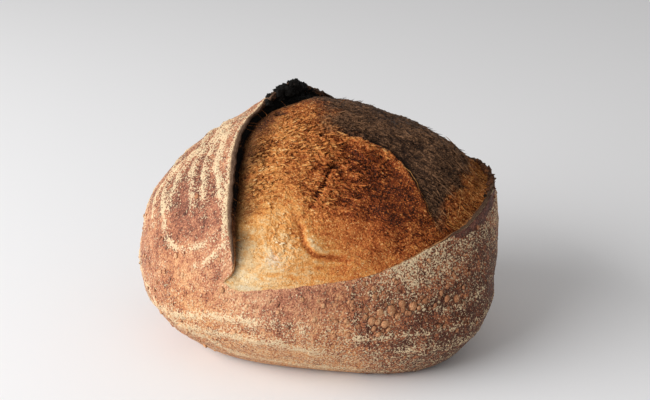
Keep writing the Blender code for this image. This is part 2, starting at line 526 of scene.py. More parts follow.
@dataclass(frozen=True)
class Slash:
    """The long curved slash, given at stops round its edge.

    Attributes:
        form: The body that it opens.
        axis: The direction of the bloom's crest, as azimuth and elevation in degrees.
        left: Stops up and over the ear's side: azimuth, elevation, then lift, lean
            and depth in millimetres.
        right: Stops back along the low lip's side, in the same way.
        steps: How many points each span between stops gets.
        ragged: How far the edge strays to either side.
        foot_share: How much of the lip's lean the crumb fills.
    """

    form: LoafForm
    axis: tuple[float, float] = (300.0, 40.0)
    left: Stops = (
        (240, 15.5, 0.5, 0.3, 0.3), (243.8, 20.5, 1.6, 0.6, 1), (242.5, 30, 3, 2.4, 2.5),
        (239, 38.8, 4, 3.4, 3.5), (233, 51.2, 4.6, 4.4, 4), (222.5, 61, 4.6, 4.8, 3.2),
        (202, 71, 4, 5, 2.6), (179, 76.6, 3.8, 4.6, 2.4), (148, 79.5, 8.2, 2.6, 2.6),
        (112, 79, 9.7, 0.8, 3.4), (86, 71, 5.8, 0.8, 3.5), (71, 59, 4, 1.5, 3), (62, 44, 2.4, 1.5, 2),
        (57, 30, 0.8, 0.5, 0.6),
    )
    right: Stops = (
        (57, 30, 0.8, 0.5, 0.6), (42, 32, 1.8, 1.5, 1.8), (24, 33.2, 3, 2.5, 3), (6, 32.5, 4, 3, 4),
        (353, 30.5, 4.2, 3.2, 4.5), (345, 29, 3.8, 3.2, 4.5), (338, 27.6, 3.4, 3.2, 4),
        (331, 26.2, 3, 3, 3), (324, 25, 2.2, 2.2, 1.8), (315, 23.8, 1.4, 1.2, 1),
        (305, 21.7, 0.8, 0.5, 0.6), (292, 19.6, 0.4, 0.3, 0.4), (275, 18.1, 0.2, 0.2, 0.3),
        (258, 16, 0.2, 0.2, 0.3), (246, 13.9, 0.3, 0.2, 0.3), (240, 15.5, 0.5, 0.3, 0.3),
    )
    steps: int = 24
    ragged: float = 0.7 * MM
    foot_share: float = 0.8

    def crest(self) -> Array:
        """Return the direction of the bloom's crest."""
        return unit(*self.axis)

    def edge(self, count: int) -> SlashEdge:
        """Space the edge's points evenly along the body.

        Args:
            count: How many points the edge gets.

        Returns:
            The edge with its sizes at every point.
        """
        runs = []
        for stops in (self.left, self.right):
            table = np.array(stops)
            vectors = unit(table[:, 0], table[:, 1])
            runs.append(smooth_run(np.hstack((vectors, table[:, 2:] * MM)), self.steps))
        loop = np.vstack(runs)
        loop[:, :3] = normalised(loop[:, :3])
        closed = np.vstack((loop, loop[:1]))
        places = closed[:, :3] * self.form.radius(closed[:, :3])[:, None]
        steps = np.linalg.norm(np.diff(places, axis=0), axis=1)
        length = np.concatenate(([0.0], np.cumsum(steps)))
        wanted = np.arange(count) / count * length[-1]
        even = np.stack([np.interp(wanted, length, column) for column in closed.T], -1)
        rays = normalised(even[:, :3])
        lift, lean, depth = np.maximum(even[:, 3:], 0.0).T
        line = SurfaceLine.along_rays(rays, closed=True)
        inward = normalised(np.cross(rays, line.along))
        inward *= np.sign(np.sum(inward * (self.crest() - rays)))
        radius = self.form.radius(rays)
        place = rays * radius[:, None]
        strays = Noise(5).waves(place, 8.0 * MM) + 0.6 * Noise(6).waves(place, 3.0 * MM)
        rays = normalised(rays + inward * (self.ragged * strays / radius)[:, None])
        return SlashEdge(SurfaceLine.along_rays(rays, closed=True), inward, lift, lean, depth)

    def foot(self, count: int) -> SlashEdge:
        """Space the points where the crumb meets the rim's wall.

        Args:
            count: How many points there are.

        Returns:
            The line, a little outside the edge, with its sizes.
        """
        edge = self.edge(count)
        rays = self.stepped(edge, -self.foot_share * edge.lean)
        line = SurfaceLine.along_rays(rays, closed=True)
        return SlashEdge(line, edge.inward, edge.lift, (1.0 - self.foot_share) * edge.lean, edge.depth)

    def stepped(self, edge: SlashEdge, distance: Array | float) -> Array:
        """Move the edge's directions sideways along the body, towards the crumb."""
        rays = edge.rays
        return normalised(rays + edge.inward * (distance / self.form.radius(rays))[:, None])


# --- Meshes ---

def started(operator: Callable[..., object], **sizes: object) -> Piece:
    """Add a primitive with nothing else selected.

    Args:
        operator: The operator that adds it.
        sizes: Its sizes.

    Returns:
        The primitive.
    """
    bpy.ops.object.select_all(action="DESELECT")
    operator(**sizes)
    return bpy.context.active_object


def seats(piece: Piece) -> Array:
    """Read where a piece's points lie.

    Args:
        piece: The piece.

    Returns:
        Their places, as rows.
    """
    places = np.empty(len(piece.data.vertices) * 3)
    piece.data.vertices.foreach_get("co", places)
    return places.reshape(-1, 3)


def draw_out(piece: Piece, name: str, points: Array, paint: Layers) -> None:
    """Name a piece, move its points to their places and keep its layers on them.

    Args:
        piece: The piece.
        name: Its name.
        points: The places of its points.
        paint: Its painted layers, which are held between 0 and 1.
    """
    piece.name = name
    piece.data.name = name
    piece.data.vertices.foreach_set("co", points.ravel())
    for layer, values in paint.items():
        attribute = piece.data.attributes.new(layer.value, "FLOAT", "POINT")
        attribute.data.foreach_set("value", np.clip(values, 0.0, 1.0).astype(np.float32).ravel())
    piece.data.update()


def face_outwards() -> None:
    """Turn the active closed piece's faces outwards and shade it smooth."""
    bpy.ops.object.mode_set(mode="EDIT")
    bpy.ops.mesh.select_all(action="SELECT")
    bpy.ops.mesh.normals_make_consistent(inside=False)
    bpy.ops.object.mode_set(mode="OBJECT")
    bpy.ops.object.shade_smooth()


def ringed_cylinder(sides: int, cuts: int, ends: str) -> Piece:
    """Add a cylinder of radius 1, from -1 to 1 along Z, whose side is cut into rings.

    Args:
        sides: How many sides it has.
        cuts: How many rings are cut between its ends.
        ends: How its ends are filled.

    Returns:
        The closed cylinder.
    """
    cylinder = started(bpy.ops.mesh.primitive_cylinder_add, vertices=sides, radius=1.0, depth=2.0,
                       end_fill_type=ends)
    bpy.ops.object.mode_set(mode="EDIT")
    bpy.ops.mesh.select_mode(type="EDGE")
    bpy.ops.mesh.select_all(action="DESELECT")
    bpy.ops.object.mode_set(mode="OBJECT")
    vertices = cylinder.data.vertices
    for side in cylinder.data.edges:
        low, high = (vertices[end].co.z for end in side.vertices)
        side.select = abs(high - low) > 1.0
    bpy.ops.object.mode_set(mode="EDIT")
    bpy.ops.mesh.subdivide(number_cuts=cuts)
    bpy.ops.object.mode_set(mode="OBJECT")
    return cylinder


@dataclass
class Rings:
    """Rings of points from one pole to the other, with their painted layers.

    Attributes:
        points: Rows of points, in the part's frame.
        paint: For each layer, one number for each point.
    """

    points: Array
    paint: Layers

    def mesh_object(self, name: str, triangles: int) -> Piece:
        """Draw a drum's rings out to these rings and thin it to a number of triangles.

        Args:
            name: The object's name.
            triangles: How many triangles the finished piece may have.

        Returns:
            The closed, shaded object.
        """
        count, columns = self.points.shape[:2]
        drum = ringed_cylinder(columns, count - 2, "TRIFAN")
        seat = seats(drum)
        ring = 1 + np.rint((1.0 - seat[:, 2]) / 2.0 * (count - 1)).astype(int)
        pole = np.hypot(seat[:, 0], seat[:, 1]) < 0.5
        ring[pole] = np.where(seat[pole, 2] > 0.0, 0, count + 1)
        turn = np.arctan2(seat[:, 1], seat[:, 0]) / (2.0 * math.pi)
        column = np.rint(-turn * columns).astype(int) % columns
        draw_out(drum, name, self._spread(self.points)[ring, column],
                 {layer: self._spread(values)[ring, column] for layer, values in self.paint.items()})
        thin_out(drum, triangles)
        return drum

    @staticmethod
    def _spread(values: Array) -> Array:
        """Add a ring at each pole that repeats the mean of the ring beside it.

        Args:
            values: The rings.

        Returns:
            All the rings.
        """
        top, bottom = (np.repeat(ring.mean(axis=1, keepdims=True), values.shape[1], axis=1)
                       for ring in (values[:1], values[-1:]))
        return np.concatenate((top, values, bottom))


@dataclass(frozen=True)
class Blanket:
    """A square sheet that is drawn out to a domed piece with no pole on its face.

    Attributes:
        side: How many cells the sheet has along each side.
        hems: How many rings are drawn down from its rim to close it below.
    """

    side: int
    hems: int

    def lay(self) -> Piece:
        """Add the sheet, from -1 to 1 along X and Y, with its hems below it.

        Returns:
            The closed piece, its hems at whole heights under the sheet.
        """
        sheet = started(bpy.ops.mesh.primitive_grid_add, x_subdivisions=self.side,
                        y_subdivisions=self.side, size=2.0)
        bpy.ops.object.mode_set(mode="EDIT")
        bpy.ops.mesh.select_mode(type="EDGE")
        bpy.ops.mesh.select_all(action="SELECT")
        bpy.ops.mesh.region_to_loop()
        for _ in range(self.hems):
            bpy.ops.mesh.extrude_edges_move(TRANSFORM_OT_translate={"value": (0.0, 0.0, -1.0)})
        bpy.ops.mesh.edge_face_add()
        bpy.ops.object.mode_set(mode="OBJECT")
        return sheet

    @staticmethod
    def places(sheet: Piece) -> tuple[Array, Array, Array]:
        """Read where the sheet's points lie.

        Args:
            sheet: The laid sheet.

        Returns:
            For each point, its share of the way from the middle to the rim, its turn
            round the middle from 0 to 1, and the number of its hem, 0 on the face.
        """
        across, up, drop = seats(sheet).T
        x = across * np.sqrt(1.0 - up * up / 2.0)
        y = up * np.sqrt(1.0 - across * across / 2.0)
        share = np.minimum(np.hypot(x, y), 1.0)
        return share, np.arctan2(y, x) / (2.0 * math.pi) % 1.0, np.rint(-drop).astype(int)


def triangles_in(piece: Piece) -> int:
    """Count the triangles that a piece's faces make."""
    return sum(len(face.vertices) - 2 for face in piece.data.polygons)


def thin_out(piece: Piece, triangles: int) -> None:
    """Collapse the edges that matter least, and shade the piece smooth.

    Args:
        piece: The piece.
        triangles: How many triangles it may have.
    """
    thin = piece.modifiers.new("thin", "DECIMATE")
    thin.decimate_type = "COLLAPSE"
    thin.use_collapse_triangulate = True
    thin.ratio = min(1.0, triangles / triangles_in(piece))
    bpy.ops.object.select_all(action="DESELECT")
    piece.select_set(True)
    bpy.context.view_layer.objects.active = piece
    bpy.ops.object.modifier_apply(modifier=thin.name)
    bpy.ops.object.shade_smooth()


# --- The bloom ---

@dataclass(frozen=True)
class Fold:
    """A line where one swell of crumb rides over the next.

    Attributes:
        step: The height of the step across it, in millimetres.
        groove: The depth of the line itself, in millimetres.
        width: How wide the groove is, in millimetres.
        dark: How much painted shade darkens its crease.
        pale: How much painted highlight lightens the lip beside it.
        stops: The line's azimuths and elevations in degrees.
    """

    step: float
    groove: float
    width: float
    dark: float
    pale: float
    stops: Stops

    def height(self, directions: Array, radius: Array) -> tuple[Array, Array, Array]:
        """Work out the fold's relief and its tint.

        Args:
            directions: The directions of the points.
            radius: The body's radius along them.

        Returns:
            The fold's height, how much painted shade darkens its crease at a point, and how
            much painted highlight lightens its lip there.
        """
        step, groove, width = (size * MM for size in (self.step, self.groove, self.width))
        line = SurfaceLine.through(self.stops)
        index, gap, signed = line.nearest(directions)
        gap = gap * radius
        signed = signed * radius
        fade = np.sin(np.pi * (index + 0.5) / len(line.rays)) ** 0.5
        hump = np.exp(-gap / (9.0 * width))
        crease = fade * np.exp(-(gap / width) ** 2)
        lip = fade * np.exp(-((signed / width + 2.2) / 1.7) ** 2)
        height = fade * -0.5 * step * np.tanh(signed / width) * hump - groove * crease
        return height + 0.4 * groove * lip * (self.pale > 0.0), self.dark * crease, self.pale * lip


@dataclass(frozen=True)
class Bloom:
    """The crumb that has swollen through the slash and torn as it rose.

    Attributes:
        form: The loaf's body.
        slash: The slash that it fills.
        columns: How many points the crevice's line has.
        side: How many cells the bloom's sheet has along each side.
        hems: Rings that close it below: how far each runs on under the lip (or back
            from it, if negative), and how far it drops below the rim.
        roll: How far from the crevice the crumb starts to sink.
        deepening: How much deeper than the part's the crevice is.
        web_reach: How far from the lip the crumb is drawn up to it.
        triangles: How many triangles the piece may have.
        across: The way that the torn crumb's fibres run.
        along: The other way of the torn face.
        folds: The lines where swells meet.
        pits: Torn holes: azimuth, elevation, half width and depth in millimetres.
        bake: How brown the crumb is, place by place, with painted shade worked into a few
        stops beside the ear.
        torn: How rough it is torn.
        web: Where along the crevice it is drawn up to the lip.
        burn: Where along the crevice it is burnt; it also weights the painted shade
        beside the ear.
        shaded: Where along the crevice a painted shadow of the ear falls on it, and how far.
        golden: Where its browning is yellow rather than red.
        dusted: Where some flour fell on it.
        lobe_line: The edge of the dark lobe behind the main fold.
        groove_line: The lower edge of that lobe.
    """

    form: LoafForm
    slash: Slash
    columns: int = 1440
    side: int = 440
    hems: Stops = (
        (1.3 * MM, 0.5 * MM), (2.6 * MM, 1.4 * MM), (1.0 * MM, 9.0 * MM), (-12.0 * MM, 13.0 * MM),
    )
    roll: float = 26.0 * MM
    deepening: float = 1.15
    web_reach: float = 4.5 * MM
    triangles: int = 196000
    across: Triple = (0.943, -0.333, 0.0)
    along: Triple = (0.3, 0.85, 0.43)
    folds: tuple[Fold, ...] = (
        Fold(3.2, 1.6, 1.7, 0.3, 0.26, (
            (303, 75), (309, 70), (318, 64), (325, 58), (326, 51), (324, 44), (322, 37), (321, 30))),
        Fold(2.4, 1.8, 1.4, 0.33, 0.22, (
            (287, 25.5), (281, 26.6), (275, 28.2), (270.5, 31.5), (268.5, 36.5), (267.5, 41))),
        Fold(1.6, 2.2, 1.3, 0.42, 0, (
            (273, 44), (275.5, 47.5), (280.5, 52), (285, 56.5), (291, 61))),
        Fold(0.5, 0.6, 0.9, 0.3, 0.26, (
            (333, 53), (338, 51), (344, 49), (350, 48))),
    )
    pits: Stops = (
        (203, 81.5, 3.4, 2.6), (227, 62, 1.6, 1.5), (256, 81, 1.4, 1.5), (271, 70, 1.5, 1.4),
        (287, 71, 1.5, 1.3), (289.5, 58, 2.6, 2.6), (291, 60.5, 1.7, 2), (262, 63, 1.3, 1),
        (280, 49, 1.5, 1.4), (331, 34, 1.3, 1.6), (269, 52, 1.3, 1), (245, 50, 1.3, 1), (238, 56, 1.2, 1),
        (297, 64, 1.3, 1.2), (275, 74, 1.2, 1.2),
    )
    bake: Patches = Patches(7.5, (
        (250, 22, 0.08), (245, 20, 0.04), (246, 28, 0.16), (254, 27, 0.25), (256, 34, 0.21),
        (254, 45, 0.31), (245, 53, 0.5), (238, 62, 0.47), (230, 45, 0.36), (237, 50, 0.42),
        (245, 65, 0.35), (222, 79, 0.6), (270, 70, 0.21), (273, 79, 0.32), (267, 58, 0.55),
        (262, 38, 0.34), (273, 47, 0.56), (286, 65, 0.74), (293, 49, 0.4), (290, 40, 0.73),
        (284, 32, 0.68), (268, 25, 0.24), (278, 27, 0.19), (276, 31, 0.2), (287, 25, 0.32),
        (296, 25, 0.38), (305, 29, 0.48), (305, 43, 1.05), (315, 34, 1.12), (314, 26, 0.78),
        (313, 47, 1.32), (319, 51, 0.97), (324, 49, 0.58), (311, 56, 0.72), (304, 69, 0.75),
        (319, 66, 0.62), (320, 82, 0.82), (334, 76, 0.6), (348, 59, 0.72), (334, 42, 0.62),
        (323, 34, 0.54), (323, 28, 0.65), (332, 30, 0.68), (342, 31, 0.56), (352, 33, 0.57),
        (10, 38, 0.62), (40, 38, 0.62), (55, 48, 0.62), (75, 66, 0.7), (20, 60, 0.76), (45, 70, 0.76),
    ))
    torn: Patches = Patches(9, (
        (288, 66, 1), (296, 56, 1), (272, 76, 0.8), (282, 52, 0.7), (310, 60, 0.8), (246, 50, 0.5),
        (240, 64, 0.7), (338, 33, 0.8), (352, 34.5, 0.8), (330, 72, 0.6), (262, 66, 0.7), (262, 34, 0.35),
        (20, 45, 0.6), (60, 62, 0.6), (345, 52, 0.4), (323, 28, 0.5),
    ))
    web: Patches = Patches(7, (
        (334, 26, 0.15), (341, 27, 0.35), (348, 29, 0.9), (356, 30, 1), (6, 32, 1), (18, 33, 0.9),
        (30, 33, 0.8), (42, 32, 0.6),
    ))
    burn: Patches = Patches(9, (
        (239, 42, 0.35), (236, 50, 0.8), (222, 61, 1), (202, 71, 1), (179, 76, 1), (148, 79, 1),
        (112, 79, 1), (86, 71, 1), (71, 59, 0.7),
    ))
    shaded: Patches = Patches(8, (
        (255, 18, 0), (248, 19, 0), (244.5, 23.5, 0.45), (242, 31, 0.95), (239, 42, 1), (236, 50, 1),
        (222, 61, 1.35), (202, 71, 1.5), (179, 76, 1.5), (148, 79, 1.1), (112, 79, 1), (86, 71, 0.9),
        (71, 59, 0.6),
    ))
    golden: Patches = Patches(9, (
        (250, 22, 1), (246, 30, 1), (256, 34, 1), (254, 45, 1), (240, 53, 0.8), (238, 62, 0.7),
        (222, 75, 0.7), (262, 38, 0.4), (268, 25, 0), (273, 47, 0), (267, 58, 0.2), (262, 70, 0.5),
        (273, 79, 0.2), (284, 32, 0), (293, 49, 0), (305, 30, 0), (305, 43, 0), (315, 34, 0),
        (311, 56, 0), (310, 68, 0.2), (324, 28, 0.1), (333, 30, 0.4), (342, 31, 0.6), (352, 33, 0.7),
        (10, 38, 1), (40, 38, 0.8), (60, 60, 0.5),
    ))
    dusted: Patches = Patches(3, ((258, 26, 1), (261, 24.5, 0.8)))
    lobe_line: Stops = (
        (150, 84), (60, 86), (330, 83), (303, 75.7), (308, 68.6), (317, 62.9), (322.7, 57.1),
        (325.1, 52.4), (324.1, 49.2), (323.6, 46), (323, 43.1), (322.4, 38.9), (322, 34.5), (321.6, 28.6),
    )
    groove_line: Stops = (
        (60, 52), (40, 44), (20, 41), (5, 38.5), (353.9, 37), (346.8, 36.4), (343.4, 35.6), (338.1, 34.6),
        (334.3, 33.6), (329.2, 32.7), (326.1, 30.4), (321.6, 28.6),
    )

    def build(self) -> Piece:
        """Model the bloom.

        Returns:
            The closed piece, with its layers painted.
        """
        edge = self.slash.foot(self.columns)
        fan = Fan(self.slash.crest(), edge.rays)
        blanket = Blanket(self.side, len(self.hems))
        piece = blanket.lay()
        share, turn, hem = blanket.places(piece)
        column = turn * self.columns
        rays = fan.at(share, column, CRUMB_EVENING)
        height, paint = self.face(rays, edge)
        level = self.form.radius(rays) + height
        whole = np.arange(self.columns)
        for number, (tuck, drop) in enumerate(self.hems, 1):
            under = hem == number
            stepped = self.slash.stepped(edge, -tuck)
            tucked = [np.interp(column[under], whole, axis, period=self.columns) for axis in stepped.T]
            rays[under] = normalised(np.stack(tucked, -1))
            level[under] -= drop
        points = rays * level[:, None] + self.form.heart()
        draw_out(piece, "bloom", points, paint)
        face_outwards()
        thin_out(piece, self.triangles)
        return piece

    def lobe(self, rays: Array, radius: Array) -> Array:
        """Mark out the dark lobe behind the main fold.

        Args:
            rays: The directions of the points.
            radius: The body's radius along them.

        Returns:
            1 on the lobe and 0 elsewhere, with a soft edge.
        """
        _, _, signed = SurfaceLine.through(self.lobe_line).nearest(rays)
        high = rise(58.0, 76.0, np.degrees(np.arcsin(rays[..., 2])))
        ragged = Noise(41).fractal(rays, 0.1, 4, 0.6) * (1.6 + 6.0 * high) * MM
        soft = 1.2 * MM + 9.0 * MM * high
        behind = rise(-1.0, 1.0, (signed * radius + ragged) / soft)
        _, _, over = SurfaceLine.through(self.groove_line).nearest(rays)
        above = rise(-1.0, 1.0, (-over * radius + 3.0 * ragged) / (6.0 * MM))
        return behind * above

    def face(self, rays: Array, edge: SlashEdge) -> tuple[Array, Layers]:
        """Work out the face's relief and paint.

        Args:
            rays: The face's directions.
            edge: The line of the slash.

        Returns:
            The height over the body, and the painted layers.
        """
        radius = self.form.radius(rays)
        index, gap, _ = edge.line.nearest(rays)
        gap = gap * radius
        place = rays * radius[..., None]
        across = normalised(np.array(self.across))
        along = normalised(np.array(self.along))
        drifted = place + Noise(3).drift(place, 34.0 * MM) * 7.0 * MM
        grain, short = (np.stack((drifted @ across / length, drifted @ along,
                                  drifted @ np.cross(across, along)), -1) for length in (5.0, 2.6))
        lobe = self.lobe(rays, radius)
        inner = rise(0.0, 13.0 * MM, gap)
        torn = self.torn.spots(rays)
        web, burn, shaded = (marks.spots(edge.rays)[index] for marks in (self.web, self.burn, self.shaded))
        # It sinks into the crevice, and is drawn up to the low lip.
        near = np.maximum(1.0 - gap / self.roll, 0.0)
        sink = self.deepening * edge.depth[index] * near ** 2
        height = -sink * (1.0 - web * np.exp(-(gap / self.web_reach) ** 2))
        height += 0.85 * web * edge.lift[index] * np.exp(-gap / (0.8 * self.web_reach))
        flat = np.maximum(1.0 - edge.lift[index] / (3.0 * MM), 0.0)
        height += 0.65 * MM * flat * np.exp(-gap / (2.0 * MM))
        # The folds, with painted shade in their creases and painted highlight on their lips, the soft
        # swells and the fibres of its face.
        crease = np.zeros(rays.shape[:-1])
        lip = np.zeros(rays.shape[:-1])
        bent = normalised(rays + Noise(7).drift(place, 11.0 * MM) * 0.012
                          + Noise(8).drift(place, 4.0 * MM) * 0.006)
        for fold in self.folds:
            step, inside, lip_highlight = fold.height(bent, radius)
            height += step
            crease = np.maximum(crease, inside)
            lip = np.maximum(lip, lip_highlight)
        height += inner * 1.7 * MM * Noise(11).waves(place, 30.0 * MM)
        height += inner * 1.1 * MM * Noise(12).waves(place, 13.0 * MM)
        fibre = Noise(21).ridges(grain, 2.3 * MM, 3, 0.6)
        tuft = Noise(22).fractal(short, 2.6 * MM, 3, 0.6)
        rough = 0.6 + 0.35 * lobe + 0.7 * torn
        height += 0.7 * MM * rough * (fibre - 0.4) * (0.4 + 0.6 * inner)
        height += 0.42 * MM * rough * tuft * (0.4 + 0.6 * inner)
        crumb = Noise(25).fractal(place, 2.0 * MM, 2, 0.6)
        height += 0.22 * MM * crumb
        # Torn steps, pores and holes.
        steps = 2.6 * Noise(23).fractal(short, 10.0 * MM, 4, 0.6)
        whole = np.floor(steps)
        terrace = (whole + rise(0.36, 0.64, steps - whole)) - steps
        height += 2.6 * MM * torn * terrace * (0.3 + 0.7 * inner)
        distance, chance = Noise(24).cells(grain * np.array((2.2, 1.0, 1.0)), 3.4 * MM)
        pit = rise(1.0, 0.0, distance / (0.5 * MM + 0.9 * MM * chance[..., 1])) * (chance[..., 0] > 0.8)
        pit = pit * (0.35 + 0.65 * np.minimum(torn + web, 1.0))
        height -= 0.8 * MM * pit * inner
        wobble = place + Noise(26).drift(place, 3.0 * MM) * 1.4 * MM
        hole = np.zeros(rays.shape[:-1])
        for azimuth, elevation, size, depth in self.pits:
            seat = unit(azimuth, elevation)
            offset = wobble - seat * self.form.radius(seat)
            slide = offset @ across
            reach = np.sqrt(np.sum(offset * offset, axis=-1) - 0.65 * slide * slide)
            own = rise(1.0, 0.35, reach / (size * MM))
            height -= depth * MM * own
            hole = np.maximum(hole, own)
        # Its browning, with painted shade and highlight on its relief, and the char and painted shadow
        # beside the rim.
        shade = self.bake.at(rays)
        mixed = 0.1 * Noise(31).fractal(place, 22.0 * MM, 3, 0.55)
        mixed += 0.17 * Noise(32).fractal(short, 5.5 * MM, 3, 0.6)
        shade = shade + mixed * (0.35 + 0.95 * shade)
        shade = shade - (0.24 * (fibre - 0.4) + 0.13 * tuft) * (0.25 + 0.95 * shade)
        # Painted shade in the pores, and a painted highlight on the folds' lips.
        shade = shade - 0.06 * crumb + 0.3 * pit - lip
        shade = np.minimum(shade, 0.84 + 0.4 * (shade - 0.84))
        # Browner beside the burnt rim, partly as painted shade of the ear.
        shade = shade + 0.14 * burn * np.exp(-(gap / (13.5 * MM)) ** 2)
        # Painted shade in the hollows of the torn steps, and painted highlight on their raised parts.
        shade = shade + 0.24 * torn * rise(-0.1, -0.32, terrace)
        shade = shade - 0.11 * torn * rise(0.08, 0.3, terrace)
        # Painted shade in the folds' creases and in the torn holes.
        shade = shade + crease + 0.3 * hole
        # Char, and painted cavity shade, at the crevice's foot where the rim is burnt.
        frayed = gap + 2.2 * MM * Noise(34).fractal(place, 2.6 * MM, 3, 0.7)
        singe_and_cavity_shade = rise(2.8 * MM, 1.2 * MM, frayed) * burn
        high = rise(50.0, 60.0, np.degrees(np.arcsin(rays[..., 2])))
        # The painted shadow that the ear casts on the crumb beside it.
        soft = gap + 3.0 * MM * Noise(35).fractal(place, 9.0 * MM, 4, 0.6)
        painted_shadow = 0.76 * np.minimum(shaded, 1.0) * rise(20.0 * MM, 2.0 * MM, soft / np.maximum(shaded, 0.3))
        paint = {
            Paint.BAKE: shade,
            Paint.ASH: lobe,
            Paint.FLOUR: 0.5 * self.dusted.spots(rays),
            # The char layer carries the char, the painted shadow of the ear and painted shade in the high
            # holes.
            Paint.CHAR: np.maximum(np.maximum(singe_and_cavity_shade, painted_shadow), 0.75 * hole * high),
            Paint.TEAR: torn,
            Paint.GOLD: np.clip(self.golden.at(rays) + 0.2 * tuft, 0.0, 1.0),
        }
        return height, paint


# --- Loose flakes, strands and char ---

@dataclass(frozen=True)
class Copies:
    """Many copies of one small shape, joined in one piece.

    Attributes:
        name: The piece's name.
        count: How many copies there are.
    """

    name: str
    count: int

    def spread(self, pattern: Piece) -> tuple[Piece, Array]:
        """Repeat a shape in a row.

        Args:
            pattern: The shape, at the origin.

        Returns:
            The piece with all the copies, and the one shape's points.
        """
        own = seats(pattern)
        row = pattern.modifiers.new("row", "ARRAY")
        row.count = self.count
        row.use_relative_offset = False
        row.use_constant_offset = True
        row.constant_offset_displace = (ROW_STEP, 0.0, 0.0)
        bpy.ops.object.modifier_apply(modifier=row.name)
        return pattern, own

    def finish(self, piece: Piece, points: Array, paint: Layers) -> None:
        """Put every copy's points in place and paint them.

        Args:
            piece: The joined piece.
            points: The points of every copy, as copies, points and axes.
            paint: The painted layers, as copies and points, or one number for all of
                a copy's points.
        """
        draw_out(piece, self.name, points, {layer: np.broadcast_to(values, points.shape[:2])
                                            for layer, values in paint.items()})
        face_outwards()


def tangents(rays: Array, fall: Array) -> tuple[Array, Array]:
    """Return level-ish unit vectors on the surface, turned by an angle.

    Args:
        rays: Directions, as rows.
        fall: How far the first vector falls from +X, in degrees.

    Returns:
        The turned vector, and the one square to it.
    """
    right = normalised(np.array((1.0, 0.0, 0.0)) - rays * rays[:, :1])
    down = np.cross(right, rays)
    turn = np.radians(fall)[:, None]
    return np.cos(turn) * right + np.sin(turn) * down, np.cos(turn) * down - np.sin(turn) * right


@dataclass(frozen=True)
class Flakes:
    """Curled flakes and fibres of crumb that stand up where the bloom tore.

    Attributes:
        bloom: The bloom that they stand on.
        count: How many there are.
        tries_each: How many places are tried for each.
        edge_gap: How far from the crevice they stay.
        fall: How steeply the fibres fall to the right, in degrees, place by place.
    """

    bloom: Bloom
    count: int = 2700
    tries_each: int = 9
    edge_gap: float = 2.5 * MM
    fall: Patches = Patches(12, (
        (270, 75, 14), (245, 60, 12), (288, 62, 24), (300, 52, 36), (320, 70, 14), (348, 59, 16),
        (334, 46, 48), (328, 38, 58), (250, 38, 20), (285, 38, 30), (310, 36, 48), (345, 32, 62),
        (20, 50, 20), (60, 62, 15),
    ))

    def build(self) -> Piece:
        """Model the flakes.

        Returns:
            The joined piece.
        """
        rng = np.random.default_rng(17)
        edge = self.bloom.slash.foot(self.bloom.columns)
        rays = self._places(rng, edge)
        copies = Copies("crumb_flakes", len(rays))
        piece, leaf = copies.spread(started(bpy.ops.mesh.primitive_uv_sphere_add, segments=10,
                                            ring_count=4, radius=1.0))
        height, paint = self.bloom.face(rays, edge)
        lobe = paint[Paint.ASH]
        chance = rng.random((len(rays), 8))
        fine = rise(0.55, 0.15, paint[Paint.TEAR])
        long = (6.2 - 5.3 * fine) * (0.6 + 0.9 * chance[:, 0] ** 2) * (1.0 + 0.7 * lobe) * MM / 2.0
        wide = (0.66 - 0.28 * fine) * (0.5 + 1.0 * chance[:, 1]) * (1.0 - 0.35 * lobe) * MM
        thick = 0.17 * MM * (0.7 + 0.8 * chance[:, 2])
        turn = self.fall.at(rays) + (chance[:, 3] - 0.5) * (50.0 + 70.0 * fine)
        lay, side = tangents(rays, turn)
        lift = np.radians(4.0 + 26.0 * chance[:, 4] ** 1.5)[:, None, None]
        x, y, z = (leaf[None, :, axis, None] for axis in range(3))
        narrow = 1.0 - 0.55 * x * x
        reach = x * long[:, None, None]
        curl = (chance[:, 5] * 0.3)[:, None, None] * long[:, None, None] * x * np.abs(x)
        rise_up = reach * np.sin(lift) + curl + z * thick[:, None, None]
        sway = y * narrow * wide[:, None, None] + (chance[:, 6] - 0.5)[:, None, None] * reach * x * 0.6
        base = rays * (self.bloom.form.radius(rays) + height + 0.05 * MM)[:, None]
        points = (base[:, None] + lay[:, None] * reach * np.cos(lift) + side[:, None] * sway
                  + rays[:, None] * rise_up + self.bloom.form.heart())
        tip = np.clip(leaf[:, 0], 0.0, 1.0)
        tint = (chance[:, 7] - 0.62) * 0.42 * np.minimum(0.35 + paint[Paint.BAKE], 1.0)
        copies.finish(piece, points, {
            Paint.BAKE: (paint[Paint.BAKE] + tint)[:, None] + 0.14 * tip ** 2,
            Paint.ASH: lobe[:, None],
            Paint.GOLD: paint[Paint.GOLD][:, None],
            Paint.CHAR: paint[Paint.CHAR][:, None],
        })
        return piece

    def _places(self, rng: np.random.Generator, edge: SlashEdge) -> Array:
        """Scatter places over the bloom, closer together where it is torn.

        Args:
            rng: The source of chance.
            edge: The line of the slash.

        Returns:
            The directions of the flakes.
        """
        fan = Fan(self.bloom.slash.crest(), edge.rays)
        tries = self.count * self.tries_each
        share = np.sqrt(rng.random(tries)) * 0.97
        column = rng.random(tries) * self.bloom.columns
        rays = fan.at(share, column, CRUMB_EVENING)
        _, gap, _ = edge.line.nearest(rays)
        torn = self.bloom.torn.spots(rays)
        want = 0.14 + 0.75 * torn ** 1.3 + 0.25 * self.bloom.lobe(rays, self.bloom.form.radius(rays))
        keep = (rng.random(tries) < want) & (gap * self.bloom.form.radius(rays) > self.edge_gap)
        return rays[keep][:self.count]


